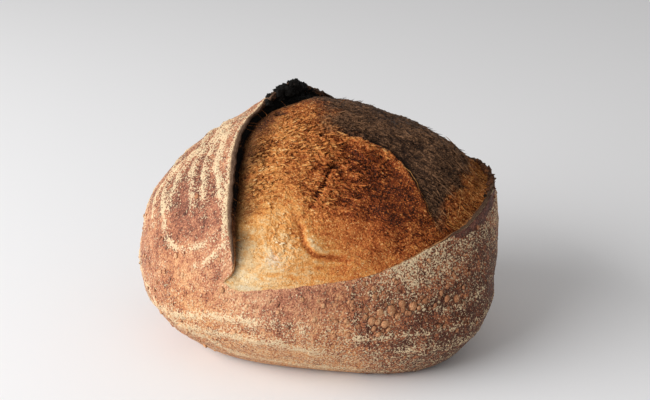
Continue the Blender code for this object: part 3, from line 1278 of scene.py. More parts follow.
@dataclass(frozen=True)
class Strands:
    """Thin strands of crumb drawn out between the rim and the bloom.

    Attributes:
        bloom: The bloom that they run to.
        runs: Where they hang from the rim: the first and last place along the slash as
            azimuth and elevation, how many, their thickness in millimetres, and bake.
        single: Strands on the bloom's own face: two directions, then thickness in
            millimetres, arch in millimetres and bake.
        sides: How many sides a strand has.
        spans: How many spans it has along its length.
    """

    bloom: Bloom
    runs: Stops = (
        (243, 24, 236, 46, 7, 0.24, 0.6), (236, 46, 202, 71, 5, 0.26, 0.8),
        (202, 71, 130, 79.5, 4, 0.3, 0.85), (327, 25.4, 341, 28, 26, 0.28, 0.42),
        (341, 28, 357, 31, 40, 0.3, 0.44), (357, 31, 24, 33.2, 30, 0.3, 0.5),
        (24, 33.2, 57, 30, 16, 0.3, 0.55),
    )
    single: Stops = (
        (323.5, 49, 323, 40, 0.42, 0.9, 0.28), (323, 40, 321.5, 31, 0.34, 0.6, 0.4),
        (21, 78, 14, 74, 0.4, 3.6, 0.8), (331, 36, 326, 28, 0.36, 1, 0.34),
        (336, 34, 331, 27.5, 0.36, 1.2, 0.36), (284, 57.5, 294, 60.5, 0.4, 1.6, 0.62),
    )
    sides: int = 6
    spans: int = 7

    def build(self) -> Piece:
        """Model the strands.

        Returns:
            The joined piece.
        """
        rng = np.random.default_rng(29)
        edge = self.bloom.slash.foot(self.bloom.columns)
        starts, ends, sizes = self._hung(rng, edge)
        copies = Copies("crumb_strands", len(starts))
        piece, tube = copies.spread(ringed_cylinder(self.sides, self.spans - 1, "NGON"))
        along = (tube[:, 2] + 1.0) / 2.0
        share = along[None, :, None]
        rays = normalised(starts[:, None, :3] * (1.0 - share) + ends[:, None, :3] * share)
        flat = rays.reshape(-1, 3)
        face, _ = self.bloom.face(flat, edge)
        ground = (self.bloom.form.radius(flat) + face).reshape(rays.shape[:2])
        foot = (self.bloom.form.radius(starts[:, :3]) + starts[:, 3])[:, None]
        landed = ground[:, [int(np.argmax(along))]]
        level = np.where(starts[:, 4:5] > 0.5, foot * (1.0 - along) + landed * along, ground)
        arch = sizes[:, 1:2] * 4.0 * along * (1.0 - along)
        chord = ends[:, :3] - starts[:, :3]
        side = normalised(np.cross(chord, starts[:, :3]))
        bend = (rng.random((len(starts), 1)) - 0.5) * 0.3 * np.linalg.norm(chord, axis=1)[:, None]
        sway = bend * 4.0 * along * (1.0 - along) * level
        thick = sizes[:, 0:1] * (0.55 + 0.9 * (2.0 * along - 1.0) ** 2)
        points = (rays * (level + arch)[..., None] + side[:, None] * sway[..., None]
                  + side[:, None] * (tube[None, :, 0] * thick)[..., None]
                  + starts[:, None, :3] * (tube[None, :, 1] * thick)[..., None]
                  + self.bloom.form.heart())
        shade = sizes[:, 2:3] + 0.1 * (rng.random((len(starts), 1)) - 0.5)
        copies.finish(piece, points, {Paint.BAKE: shade, Paint.GOLD: np.ones_like(shade)})
        return piece

    def _hung(self, rng: np.random.Generator, edge: SlashEdge) -> tuple[Array, Array, Array]:
        """Choose where the strands start and end.

        Args:
            rng: The source of chance.
            edge: The line of the slash.

        Returns:
            For each strand, its start (direction, height over the body, and 1 if it
            hangs from the rim), its end's direction, and its half thickness, arch and bake.
        """
        starts, ends, sizes = [], [], []
        for *places, count, thick, bake in self.runs:
            first, last = (int(np.argmax(edge.rays @ unit(*way))) for way in (places[:2], places[2:]))
            span = (last - first) % self.bloom.columns
            span = span if span < self.bloom.columns / 2 else span - self.bloom.columns
            for _ in range(int(count)):
                chance = rng.random(7)
                index = int(first + span * chance[0]) % self.bloom.columns
                landing = (index + int((chance[1] - 0.5) * 22.0)) % self.bloom.columns
                reach = (2.5 + 6.5 * chance[2] ** 1.5) * MM
                rim = self.slash_point(edge, index, -0.75 * edge.lean[index])
                starts.append((*rim, edge.lift[index] * (0.25 + 0.65 * chance[3]), 1.0))
                ends.append(self.slash_point(edge, landing, reach))
                sizes.append((thick * MM * (0.35 + 0.4 * chance[4]), -0.5 * MM * chance[5],
                              bake + 0.16 * (chance[6] - 0.5)))
        for *places, thick, arch, bake in self.single:
            starts.append((*unit(*places[:2]), 0.0, 0.0))
            ends.append(unit(*places[2:]))
            sizes.append((thick * MM / 2.0, arch * MM, bake))
        return np.array(starts), np.array(ends), np.array(sizes)

    def slash_point(self, edge: SlashEdge, index: int, distance: float) -> Array:
        """Return one of the edge's directions, moved sideways towards the crumb."""
        ray = edge.rays[index]
        return normalised(ray + edge.inward[index] * distance / self.bloom.form.radius(ray))


@dataclass(frozen=True)
class EarChar:
    """The burnt tip of the ear, where the torn crumb has puffed up into black knobs.

    Attributes:
        slash: The slash whose rim it stands on.
        count: How many knobs there are.
        least_lift: The lift of the rim where the knobs begin.
        sizes: The smallest and largest half width of a knob.
        brown_tip: Where the low lip ends in brown teeth as well.
        tip_share: How many of the knobs stand there.
    """

    slash: Slash
    count: int = 300
    least_lift: float = 4.8 * MM
    sizes: tuple[float, float] = (0.6 * MM, 3.0 * MM)
    brown_tip: Patches = Patches(4, ((350, 30, 1), (355, 30.8, 1), (0, 31.6, 1)))
    tip_share: float = 0.25

    def build(self) -> Piece:
        """Model the knobs.

        Returns:
            The joined piece.
        """
        rng = np.random.default_rng(43)
        edge = self.slash.edge(1440)
        over = np.maximum(edge.lift - self.least_lift, 0.0)
        tip = self.brown_tip.spots(edge.rays) ** 2
        weight = (1.0 - self.tip_share) * over / over.sum() + self.tip_share * tip / tip.sum()
        index = rng.choice(len(over), self.count, p=weight)
        chance = rng.random((self.count, 6))
        rays = edge.rays[index]
        across = -edge.lean[index] + (-0.9 + 3.2 * chance[:, 0]) * MM
        stands = normalised(rays + edge.inward[index] * (across / self.slash.form.radius(rays))[:, None])
        tall = edge.lift[index] * (0.35 + 0.66 * np.sqrt(chance[:, 1])) - 0.9 * MM * chance[:, 0]
        small, large = self.sizes
        size = small + (large - small) * chance[:, 2] ** 2
        size = size * np.clip(edge.lift[index] / (9.0 * MM), 0.72, 1.1)
        copies = Copies("ear_char", self.count)
        piece, ball = copies.spread(started(bpy.ops.mesh.primitive_ico_sphere_add, **KNOB))
        offset = rng.random((self.count, 1, 3)) * 40.0
        bumps = Noise(91).fractal(ball[None] + offset, 1.1, 3, 0.65)
        shape = ball[None] * (1.0 + 0.8 * bumps)[..., None]
        centre = stands * (self.slash.form.radius(stands) + tall)[:, None] + self.slash.form.heart()
        points = centre[:, None] + shape * size[:, None, None]
        brown = rise(0.2, 0.6, self.brown_tip.spots(rays))[:, None]
        copies.finish(piece, points, {Paint.BAKE: np.array(0.8), Paint.TEAR: np.array(1.0),
                                      Paint.CHAR: 0.9 + 0.1 * chance[:, 3:4] - 0.65 * brown})
        return piece


# --- The torn rim ---

@dataclass(frozen=True)
class Rim:
    """The torn rim of the crust: its cut top, and its inner wall down to the crevice's foot.

    Attributes:
        slash: The slash that it follows.
        columns: How many points it has along the slash.
        rows_per_span: How many rows lie between two stops of its profile.
        full: The lift at which the rim has its whole thickness.
        profile: Rows of: share of the lean, of the lift and of the depth, then
            millimetres added across and up, and how far down the tear the row is.
        bake: How brown the inner wall is, place by place.
        burn: How burnt the rim is.
        dry: How far the rim's top is torn into teeth.
    """

    slash: Slash
    columns: int = 1440
    rows_per_span: int = 4
    full: float = 5.0 * MM
    profile: Stops = (
        (-1, 1, 0, -1, -0.7, 0), (-1, 1, 0, -0.5, 0, 0.05), (-1, 1, 0, 0.5, 0.2, 0.2),
        (-1, 1, 0, 1.7, -0.1, 0.35), (-1, 0.93, 0, 2.3, -0.8, 0.5), (-1, 0.65, 0, 1.3, -0.9, 0.65),
        (-1, 0.2, 0, 0.4, 0, 0.8), (-1, 0, 0.5, 0.4, 0, 0.9), (-0.95, 0, 1.1, 0.3, 0, 1),
        (-0.9, 0, 1.3, 0.3, -3, 1), (-1, 0, 1.1, -1.6, -4, 1), (-1, 0, 0.6, -3.2, -2.5, 0.5),
        (-1, 0.5, 0, -2.4, -1.6, 0),
    )
    bake: Patches = Patches(7, (
        (240, 16, 0.3), (243.8, 20.5, 0.42), (242.5, 30, 0.62), (239, 38.8, 0.74), (233, 51, 0.8),
        (202, 71, 0.85), (112, 79, 0.85), (71, 59, 0.75), (24, 33, 0.62), (6, 32.5, 0.58),
        (353, 30.5, 0.62), (345, 29, 0.62), (338, 27.6, 0.66), (331, 26.2, 0.62), (324, 25, 0.55),
        (315, 23.8, 0.45), (292, 19.6, 0.45),
    ))
    burn: Patches = Patches(9, (
        (240.5, 37, 0.3), (237, 47, 0.8), (226, 58, 1), (202, 71, 1), (179, 76, 1), (148, 79, 1),
        (112, 79, 1), (86, 71, 1), (71, 59, 0.7), (40, 33, 0.3), (355, 31, 0.45),
    ))
    dry: Patches = Patches(8, (
        (228, 56, 0.35), (202, 71, 0.5), (160, 79, 1), (112, 79, 1.3), (86, 71, 0.9), (24, 33, 0.8),
        (6, 32.5, 1.2), (353, 30.5, 1.6), (343, 28.5, 0.5),
    ))

    def build(self) -> Piece:
        """Model the rim.

        Returns:
            The closed ring, with its layers painted.
        """
        edge = self.slash.edge(self.columns)
        table = np.array(self.profile)
        table = smooth_run(np.vstack((table, table[:1])), self.rows_per_span)
        points = np.array([self._row(edge, row) for row in table])
        tear = np.repeat(np.clip(table[:, 5:6], 0.0, 1.0), self.columns, axis=1)
        rays = edge.rays
        size = np.clip(edge.lift / self.full, 0.0, 1.0)
        ragged = 0.22 * Noise(67).fractal(points, 3.0 * MM, 3, 0.6)
        paint = {
            Paint.BAKE: self.bake.at(rays) + ragged,
            Paint.CHAR: self.burn.spots(rays) * rise(0.5, 0.74, tear + 0.5 * ragged),
            Paint.TEAR: tear + 0.8 * rise(0.6, 0.1, size),
            Paint.FLOUR: rise(0.12, 0.0, tear + 0.2 * ragged) * size,
        }
        return self._hoop(points + self.slash.form.heart(), paint)

    def _row(self, edge: SlashEdge, row: Array) -> Array:
        """Work out one row of the rim's points.

        Args:
            edge: The line of the slash.
            row: One row of the profile.

        Returns:
            The row's points around the heart.
        """
        lean, lift, depth, across, up, tear = row
        radius = self.slash.form.radius
        size = np.clip(edge.lift / self.full, 0.08, 1.15)
        ray = self.slash.stepped(edge, lean * edge.lean + across * MM * size)
        down = up * MM * (1.0 if depth > 0.05 else size) - 0.25 * MM * (1.0 - np.minimum(size, 1.0))
        ring = ray * (radius(ray) + lift * edge.lift - depth * edge.depth + down)[:, None]
        rough = float(rise(0.0, 0.4, np.array(tear)) * rise(-6.0, -2.0, np.array(up)))
        power = size ** 1.5 * (0.12 + 0.88 * rough)
        teeth = self.dry.spots(edge.rays) * (lift > 0.8)
        shake = Noise(61).drift(ring, 3.1 * MM) * 0.5 + Noise(65).drift(ring, 1.2 * MM) * 0.4
        shake = shake + Noise(68).drift(ring, 0.6 * MM) * 0.15
        ring = ring + shake * MM * (power * (1.0 + 0.8 * teeth))[:, None]
        spike = np.maximum(Noise(62).fractal(ring, 2.2 * MM, 3, 0.75), -0.3)
        return ring + ray * (1.5 * MM * teeth * spike)[:, None]

    def _hoop(self, points: Array, paint: Layers) -> Piece:
        """Draw a torus out to rows of points.

        Args:
            points: The rows of points, each right round the slash.
            paint: The painted layers on them.

        Returns:
            The shaded ring.
        """
        rows = len(points)
        hoop = started(bpy.ops.mesh.primitive_torus_add, major_segments=self.columns, minor_segments=rows,
                       major_radius=1.0, minor_radius=0.25, generate_uvs=False)
        x, y, z = seats(hoop).T
        turn = np.arctan2(y, x) / (2.0 * math.pi)
        roll = np.arctan2(z, np.hypot(x, y) - 1.0) / (2.0 * math.pi)
        column = np.rint(turn * self.columns).astype(int) % self.columns
        row = np.rint(roll * rows).astype(int) % rows
        draw_out(hoop, "torn_rim", points[row, column],
                 {layer: values[row, column] for layer, values in paint.items()})
        face_outwards()
        return hoop


# --- The crust ---

@dataclass(frozen=True)
class FlourRidge:
    """A ridge of dough and flour that one turn of the basket's cane has left.

    Attributes:
        width: Half its width, in millimetres.
        height: How far it stands out, in millimetres.
        flour: How much flour it holds, from 0 to 1.
        stops: Its azimuths and elevations in degrees.
    """

    width: float
    height: float
    flour: float
    stops: Stops

    def at(self, rays: Array, radius: Array) -> tuple[Array, Array]:
        """Read the ridge.

        Args:
            rays: The directions of the points.
            radius: The body's radius along them.

        Returns:
            How strong the ridge is, and how strong its wider dusting is, from 0 to 1.
        """
        line = SurfaceLine.through(self.stops)
        index, gap, _ = line.nearest(rays)
        end = rise(0.0, 0.55, np.sin(np.pi * (index + 0.5) / len(line.rays)))
        gap = gap * radius / (self.width * MM)
        return end * np.exp(-0.5 * gap ** 2), end * np.exp(-0.5 * (gap / 1.1) ** 2)


@dataclass(frozen=True)
class Crust:
    """The skin of the loaf: floured by its basket, blistered, and peeled up at the ear.

    Attributes:
        form: The loaf's body.
        slash: The slash that opens it.
        lip: Rows of its edge under the rim: share of the lean, of the lift and of the
            depth, then millimetres added across and up.
        lip_rows: How many rows lie between two of them.
        lip_back: How far behind the rim the skin of the loaf starts.
        lip_reach: How far from the rim the skin still rises to it.
        full: The lift at which the edge has its whole thickness.
        columns: How many points each ring has.
        rows: How many rings the skin has from the rim to the base's middle.
        floor_rows: How many hidden rings lie under the bloom.
        floor_depth: How far they lie below it.
        triangles: How many triangles the piece may have.
        ridges: The marks of the basket.
        bake: How brown the skin is, place by place; it is darkest on the right side, partly
            as painted shade of that side.
        flour: How much flour it holds; it is thinner on the right side, partly as painted
            shade there.
        sealed: Where the lip's skin is bare and dark along the rim.
        sealed_reach: How far from the rim it is so.
        rosy: Where the skin is purplish rather than tan.
        specks: Tiny burnt holes: azimuth, elevation and radius in millimetres.
    """

    form: LoafForm
    slash: Slash
    lip: Stops = (
        (-0.6, 0, 1.9, 0, -5.5), (-1, 0, 1.5, -1.4, -3.5), (-1, 0.35, 0, -1.2, -1.2),
        (-1, 0.85, 0, -1, -1), (-1, 1, 0, -0.7, -0.3), (-1, 1, 0, -1.1, -0.05), (-1, 1, 0, -1.6, 0),
    )
    lip_rows: int = 3
    lip_back: float = 1.8 * MM
    lip_reach: float = 32.0 * MM
    full: float = 5.0 * MM
    columns: int = 760
    rows: int = 205
    floor_rows: int = 5
    floor_depth: float = 11.0 * MM
    triangles: int = 196000
    ridges: tuple[FlourRidge, ...] = (
        FlourRidge(1.4, 0.7, 0.72, (
            (222, 60), (226, 56), (229.5, 50), (233.5, 42), (236.5, 34), (238.5, 27), (239, 21),
            (237, 17))),
        FlourRidge(1.5, 1.3, 1, (
            (175, 70), (190, 66), (197, 61), (203, 58), (210, 54), (215, 51), (223, 48), (229, 43),
            (232, 38))),
        FlourRidge(1.5, 1.4, 0.95, (
            (150, 62), (175, 63), (190, 62), (192, 58), (199, 53), (205, 49), (211, 46), (217, 42),
            (222, 37), (225, 33))),
        FlourRidge(1.5, 1.4, 0.85, (
            (130, 55), (160, 60), (183, 60), (191, 51), (198, 46), (203, 43), (209, 40), (215, 36),
            (218, 31))),
        FlourRidge(1.5, 1.3, 0.85, (
            (110, 46), (140, 54), (170, 58), (185, 55), (186, 49), (190, 43), (196, 38), (200, 33),
            (205, 29))),
        FlourRidge(1.7, 1.3, 1, (
            (100, 38), (130, 47), (160, 52), (181, 52), (183, 47), (184, 42), (187, 37), (191, 33),
            (195, 31), (203, 27), (207, 24), (213, 22), (218, 22), (226, 25), (232, 29), (236, 34))),
        FlourRidge(1.6, 1.1, 0.75, (
            (95, 28), (125, 38), (155, 42), (175, 41), (183, 36), (184, 31), (186, 28), (191, 25),
            (198, 22.5), (204, 21))),
        FlourRidge(1.8, 1, 0.6, (
            (90, 18), (120, 27), (150, 29), (170, 26), (183, 20), (195, 14))),
        FlourRidge(1.6, 0.9, 0.95, (
            (224, 17.5), (229, 19), (233, 22), (237, 27), (239, 32))),
        FlourRidge(1.5, 0.8, 0.78, (
            (80, 9), (110, 16), (140, 17), (165, 13), (185, 7), (202.7, 0.4), (208.4, -2.3), (214, -2),
            (221.4, -1.6), (234.2, 1.9), (241.1, 2.6), (249, 3.4), (258, 3.7), (268, 3.2), (280, 2.2))),
        FlourRidge(1.5, 0.9, 0.75, (
            (150, 3), (180, -2), (200, -4), (212.3, -4.1), (217.2, -6.4), (226.9, -5.4), (233, -5.1),
            (243.5, -4.6), (249.6, -5.3), (256.5, -4.6), (262.3, -5.3), (267.5, -6.8), (279, -7.9),
            (290, -9))),
        FlourRidge(1.5, 0.5, 0.7, (
            (200, -7), (215, -9), (229.3, -8.4), (234.3, -12.6), (240.1, -17.5), (245.6, -17.7),
            (253.4, -19), (261.4, -20.1), (272, -21.1), (285, -20.1), (300, -19), (320, -17))),
        FlourRidge(1, 0.7, 0.5, (
            (300, 6.5), (307.5, 5.2), (312, 4.6), (317.3, 4), (325, 4), (340, 6), (0, 9), (20, 10),
            (45, 9))),
        FlourRidge(1.1, 0.9, 0.65, (
            (281, -2.4), (287.1, -1.4), (296.6, -1), (302, -0.8), (307.4, -1.2), (312.9, -1), (319, -1.6),
            (330, -2), (350, 0), (15, 2), (45, 1), (70, 2))),
        FlourRidge(1.2, 0.8, 0.6, (
            (285, -8), (299.2, -7.4), (306.4, -7), (313.9, -7.1), (320.5, -7.5), (335, -9), (355, -8),
            (25, -7), (60, -7), (90, -5), (120, -4), (150, -6))),
    )
    bake: Patches = Patches(8, (
        (216.3, 34.2, 0.89), (208, 38, 0.83), (227, 36, 0.65), (222, 50, 0.67), (200, 50, 0.6),
        (190, 35, 0.81), (184, 28, 0.49), (198, 17, 0.53), (212, 27, 0.62), (219, 17, 0.43),
        (229, 19, 0.56), (236, 17, 0.32), (208, 12, 0.53), (198, 5, 0.57), (215, 3, 0.51), (232, 9, 0.29),
        (248, 10, 0.29), (258, 10.5, 0.49), (268, 11, 0.53), (281.5, 10.9, 0.56), (250, 0, 0.46),
        (268, 2, 0.5), (285, 3, 0.66), (297, 5, 0.9), (303.8, 7.3, 0.73), (312, 8, 0.85), (320, 10, 0.89),
        (300, 14, 0.56), (316, 19.8, 0.68), (335, 12, 0.95), (345, 0, 1.07), (330, -6, 1.14),
        (305, -4, 1.1), (305, -11, 0.73), (313, -1, 1.12), (285, -12, 0.44), (262, -11, 0.4),
        (243, -10, 0.43), (225, -10, 0.43), (205, -12, 0.57), (225, -22, 0.49), (0, 15, 0.69),
        (30, 12, 0.65), (60, 12, 0.67), (90, 20, 0.63), (120, 10, 0.58), (150, 20, 0.61),
        (150, -10, 0.65), (60, -15, 0.73), (0, -15, 0.77), (120, 50, 0.63), (270, -60, 0.55),
        (90, -60, 0.55),
    ))
    flour: Patches = Patches(7, (
        (216.3, 34.2, 0.08), (208, 40, 0.22), (227, 40, 0.29), (222, 50, 0.41), (205, 60, 0.44),
        (200, 48, 0.32), (190, 35, 0.34), (184, 28, 0.38), (198, 17, 0.18), (219, 17, 0.12),
        (229, 19, 0.16), (236, 17, 0.2), (208, 12, 0.22), (198, 5, 0.36), (215, 3, 0.38), (232, 9, 0.24),
        (248, 10, 0.2), (258, 10.5, 0.12), (268, 11, 0.1), (281.5, 10.9, 0.12), (250, 0, 0.52),
        (268, 2, 0.54), (285, 3, 0.46), (297, 5, 0.22), (303.8, 7.3, 0.06), (312, 8, 0), (320, 10, 0.3),
        (290, 15.5, 0.32), (300, 15.5, 0.86), (309, 15.5, 0.92), (318, 19, 1), (330, 20, 0.48),
        (345, 22, 0.5), (322, 13, 0.18), (335, 8, 0.1), (345, 0, 0.24), (330, -6, 0.32), (305, -4, 0.33),
        (305, -12, 0.46), (285, -12, 0.52), (262, -11, 0.5), (243, -10, 0.48), (225, -10, 0.46),
        (205, -12, 0.36), (225, -22, 0.5), (0, 18, 0.56), (30, 12, 0.38), (60, 12, 0.36), (90, 20, 0.4),
        (120, 10, 0.36), (150, 20, 0.38), (150, -10, 0.44), (60, -15, 0.48), (0, -15, 0.48),
        (120, 50, 0.48), (270, -60, 0.45), (90, -60, 0.45),
    ))
    sealed: Patches = Patches(4.5, (
        (331, 26.2, 0.55), (337, 27.4, 1), (342, 28.4, 0.85), (347, 29.4, 0.45), (352, 30.4, 0.2),
    ))
    sealed_reach: float = 6.0 * MM
    rosy: Patches = Patches(8, (
        (248, 10.5, 0.77), (258, 10.5, 0.85), (268, 11, 0.75), (280, 11, 0.4), (292, 9, 0.3),
        (303, 7, 0.22), (262, 4, 0.1), (285, 3, 0.1), (296, 1, 0), (235, 17, 0.68), (228, 22, 0.51),
        (216, 34, 0.77), (208, 40, 0.68), (226, 40, 0.59), (222, 50, 0.51), (200, 50, 0.42),
        (212, 20, 0.26), (222, 10, 0.15), (205, 8, 0.51), (195, 20, 0.51), (186, 32, 0.51), (240, 4, 0),
        (225, -4, 0), (250, -8, 0), (280, -10, 0), (310, -8, 0), (318, 16, 0), (335, 10, 0), (345, -3, 0),
        (30, 5, 0.18), (90, 10, 0.34), (150, 10, 0.34), (270, -70, 0.09),
    ))
    specks: Stops = ((258.2, 11.2, 0.9), (261.3, 10.6, 0.7), (262.4, 10.3, 0.5), (265, 2.4, 0.8))

    def build(self) -> Piece:
        """Model the crust.

        Returns:
            The closed piece, with its layers painted.
        """
        edge = self.slash.edge(self.columns)
        floor = self._floor_rings(edge)
        lip = self._lip_rings(edge)
        skin, rays, radius, gap = self._skin_rays(edge)
        height, paint = self.surface(rays, radius, gap, edge)
        outer = skin + rays * height[..., None]
        points = np.concatenate((floor, lip, outer)) + self.form.heart()
        hidden = len(floor) + len(lip)
        paint = {layer: np.concatenate((np.repeat(values[:1], hidden, axis=0), values))
                 for layer, values in paint.items()}
        return Rings(points, paint).mesh_object("crust", self.triangles)

    def _floor_rings(self, edge: SlashEdge) -> Array:
        """Lay out the hidden floor under the bloom.

        Args:
            edge: The line of the slash.

        Returns:
            Its rings, around the heart.
        """
        fan = Fan(self.slash.crest(), edge.rays)
        rings = []
        for number in range(self.floor_rows):
            ray = fan.ring(0.05 + 0.88 * number / (self.floor_rows - 1), CRUMB_EVENING)
            rings.append(ray * (self.form.radius(ray) - self.floor_depth)[:, None])
        return np.array(rings)

    def _lip_rings(self, edge: SlashEdge) -> Array:
        """Lay out the crust's edge, which the rim covers.

        Args:
            edge: The line of the slash.

        Returns:
            Its rings, around the heart.
        """
        table = smooth_run(np.array(self.lip), self.lip_rows)
        size = np.clip(edge.lift / self.full, 0.12, 1.0)
        rings = []
        for lean, lift, depth, across, up in table:
            own = 1.0 if depth > 0.05 else size
            ray = self.slash.stepped(edge, lean * edge.lean + across * MM * own)
            level = self.form.radius(ray) + lift * edge.lift - depth * edge.depth + up * MM * own
            rings.append(ray * level[:, None])
        return np.array(rings)

    def _skin_rays(self, edge: SlashEdge) -> tuple[Array, Array, Array, Array]:
        """Work out the skin's rings before their relief.

        Args:
            edge: The line of the slash, with the lip's sizes along it.

        Returns:
            The points, their directions, the body's radius along them, and their
            distance from the rim.
        """
        fan = Fan(self.slash.crest(), self._rim(edge))
        shares = 1.0 + 0.985 * (np.arange(1, self.rows + 1) / self.rows) ** 1.2
        rays = np.array([fan.ring(share, SKIN_EVENING) for share in shares])
        radius = self.form.radius(rays)
        lifted, gap = self.lifted(rays, radius, edge)
        return rays * (radius + lifted)[..., None], rays, radius, gap

    def _rim(self, edge: SlashEdge) -> Array:
        """Return the directions of the line where the skin meets the rim."""
        size = np.minimum(edge.lift / self.full, 1.0)
        return self.slash.stepped(edge, -edge.lean - self.lip_back * size)

    def lifted(self, rays: Array, radius: Array, edge: SlashEdge) -> tuple[Array, Array]:
        """Raise the skin to the rim.

        Args:
            rays: The directions of the points.
            radius: The body's radius along them.
            edge: The line of the slash.

        Returns:
            How far the skin rises there, and how far the rim is.
        """
        rim = SurfaceLine.along_rays(self._rim(edge), closed=True)
        index, gap, _ = rim.nearest(rays)
        gap = gap * radius
        return edge.lift[index] * np.maximum(1.0 - gap / self.lip_reach, 0.0) ** 2, gap

    def surface(self, rays: Array, radius: Array, gap: Array,
                edge: SlashEdge) -> tuple[Array, Layers]:
        """Work out the skin's relief and paint.

        Args:
            rays: The skin's directions.
            radius: The body's radius along them.
            gap: The distance from each point to the rim.
            edge: The line of the slash.

        Returns:
            The height over the skin, and the painted layers.
        """
        place = rays * radius[..., None]
        # The swells, the basket's ridges, the grit and the specks.
        clear = rise(0.0, 12.0 * MM, gap)
        base = rise(-0.93, -0.8, rays[..., 2] * radius / self.form.belly)
        wander = normalised(rays + Noise(80).drift(place, 24.0 * MM) * 0.012
                            + Noise(81).drift(place, 6.0 * MM) * 0.008)
        height = clear * base * (1.2 * MM * Noise(82).waves(place, 38.0 * MM)
                                 + 0.6 * MM * Noise(83).waves(place, 15.0 * MM))
        ridge = np.zeros(rays.shape[:-1])
        dust = np.zeros(rays.shape[:-1])
        for mark in self.ridges:
            strength, wide = mark.at(wander, radius)
            ridge = np.maximum(ridge, mark.height * MM * strength)
            dust = np.maximum(dust, mark.flour * wide)
        patchy = np.clip(0.9 + 0.6 * Noise(84).fractal(place, 9.0 * MM, 4, 0.6), 0.3, 1.25)
        ridge = 1.2 * ridge * (0.45 + 0.55 * patchy) * base
        grit = Noise(85).fractal(place, 3.0 * MM, 3, 0.65)
        height = height + ridge + 0.3 * MM * grit * base
        speck = np.zeros(rays.shape[:-1])
        for azimuth, elevation, size in self.specks:
            seat = unit(azimuth, elevation)
            away = np.linalg.norm(place - seat * self.form.radius(seat), axis=-1) / (size * MM)
            speck = np.maximum(speck, rise(1.0, 0.4, away))
        height = height - 0.8 * MM * speck
        # The browning, darker and less floured on the right side partly as painted shade, the flour and
        # the bare skin along the low lip.
        brown = self.bake.at(rays) + 0.18 * Noise(86).fractal(place, 17.0 * MM, 5, 0.6) - 0.05 * grit
        brown = brown + 0.1 * Noise(89).fractal(place, 4.0 * MM, 3, 0.7)
        brown = brown + 0.06 * rise(0.6, 0.0, ridge / MM) * rise(0.1, 0.6, dust)
        flour = self.flour.at(rays) + 0.16 * Noise(87).fractal(place, 13.0 * MM, 4, 0.6) + 0.06 * grit
        flour = np.maximum(flour, 0.1) + 0.8 * dust * patchy
        near = edge.line.nearest(rays)[0]
        whole = np.minimum(edge.lift, self.full) / self.full
        rim_dust = rise(2.2 * MM, 0.2 * MM, gap) * whole[near] * 0.5
        reach = self.sealed_reach * self.sealed.spots(edge.rays)[near]
        wavy = gap + 0.9 * MM * Noise(88).waves(place, 6.0 * MM)
        bare = rise(0.4 * MM, -0.4 * MM, wavy - reach) * rise(1.0 * MM, 2.0 * MM, reach)
        line = bare * rise(-1.3 * MM, -0.5 * MM, wavy - reach)
        height = height - 0.35 * MM * line
        brown = brown + bare * (0.93 - brown) + 0.1 * line
        paint = {
            Paint.BAKE: brown,
            Paint.FLOUR: flour + rim_dust - 1.4 * bare,
            Paint.CHAR: speck,
            Paint.ASH: np.maximum(self.rosy.at(rays), bare),
        }
        return height, paint


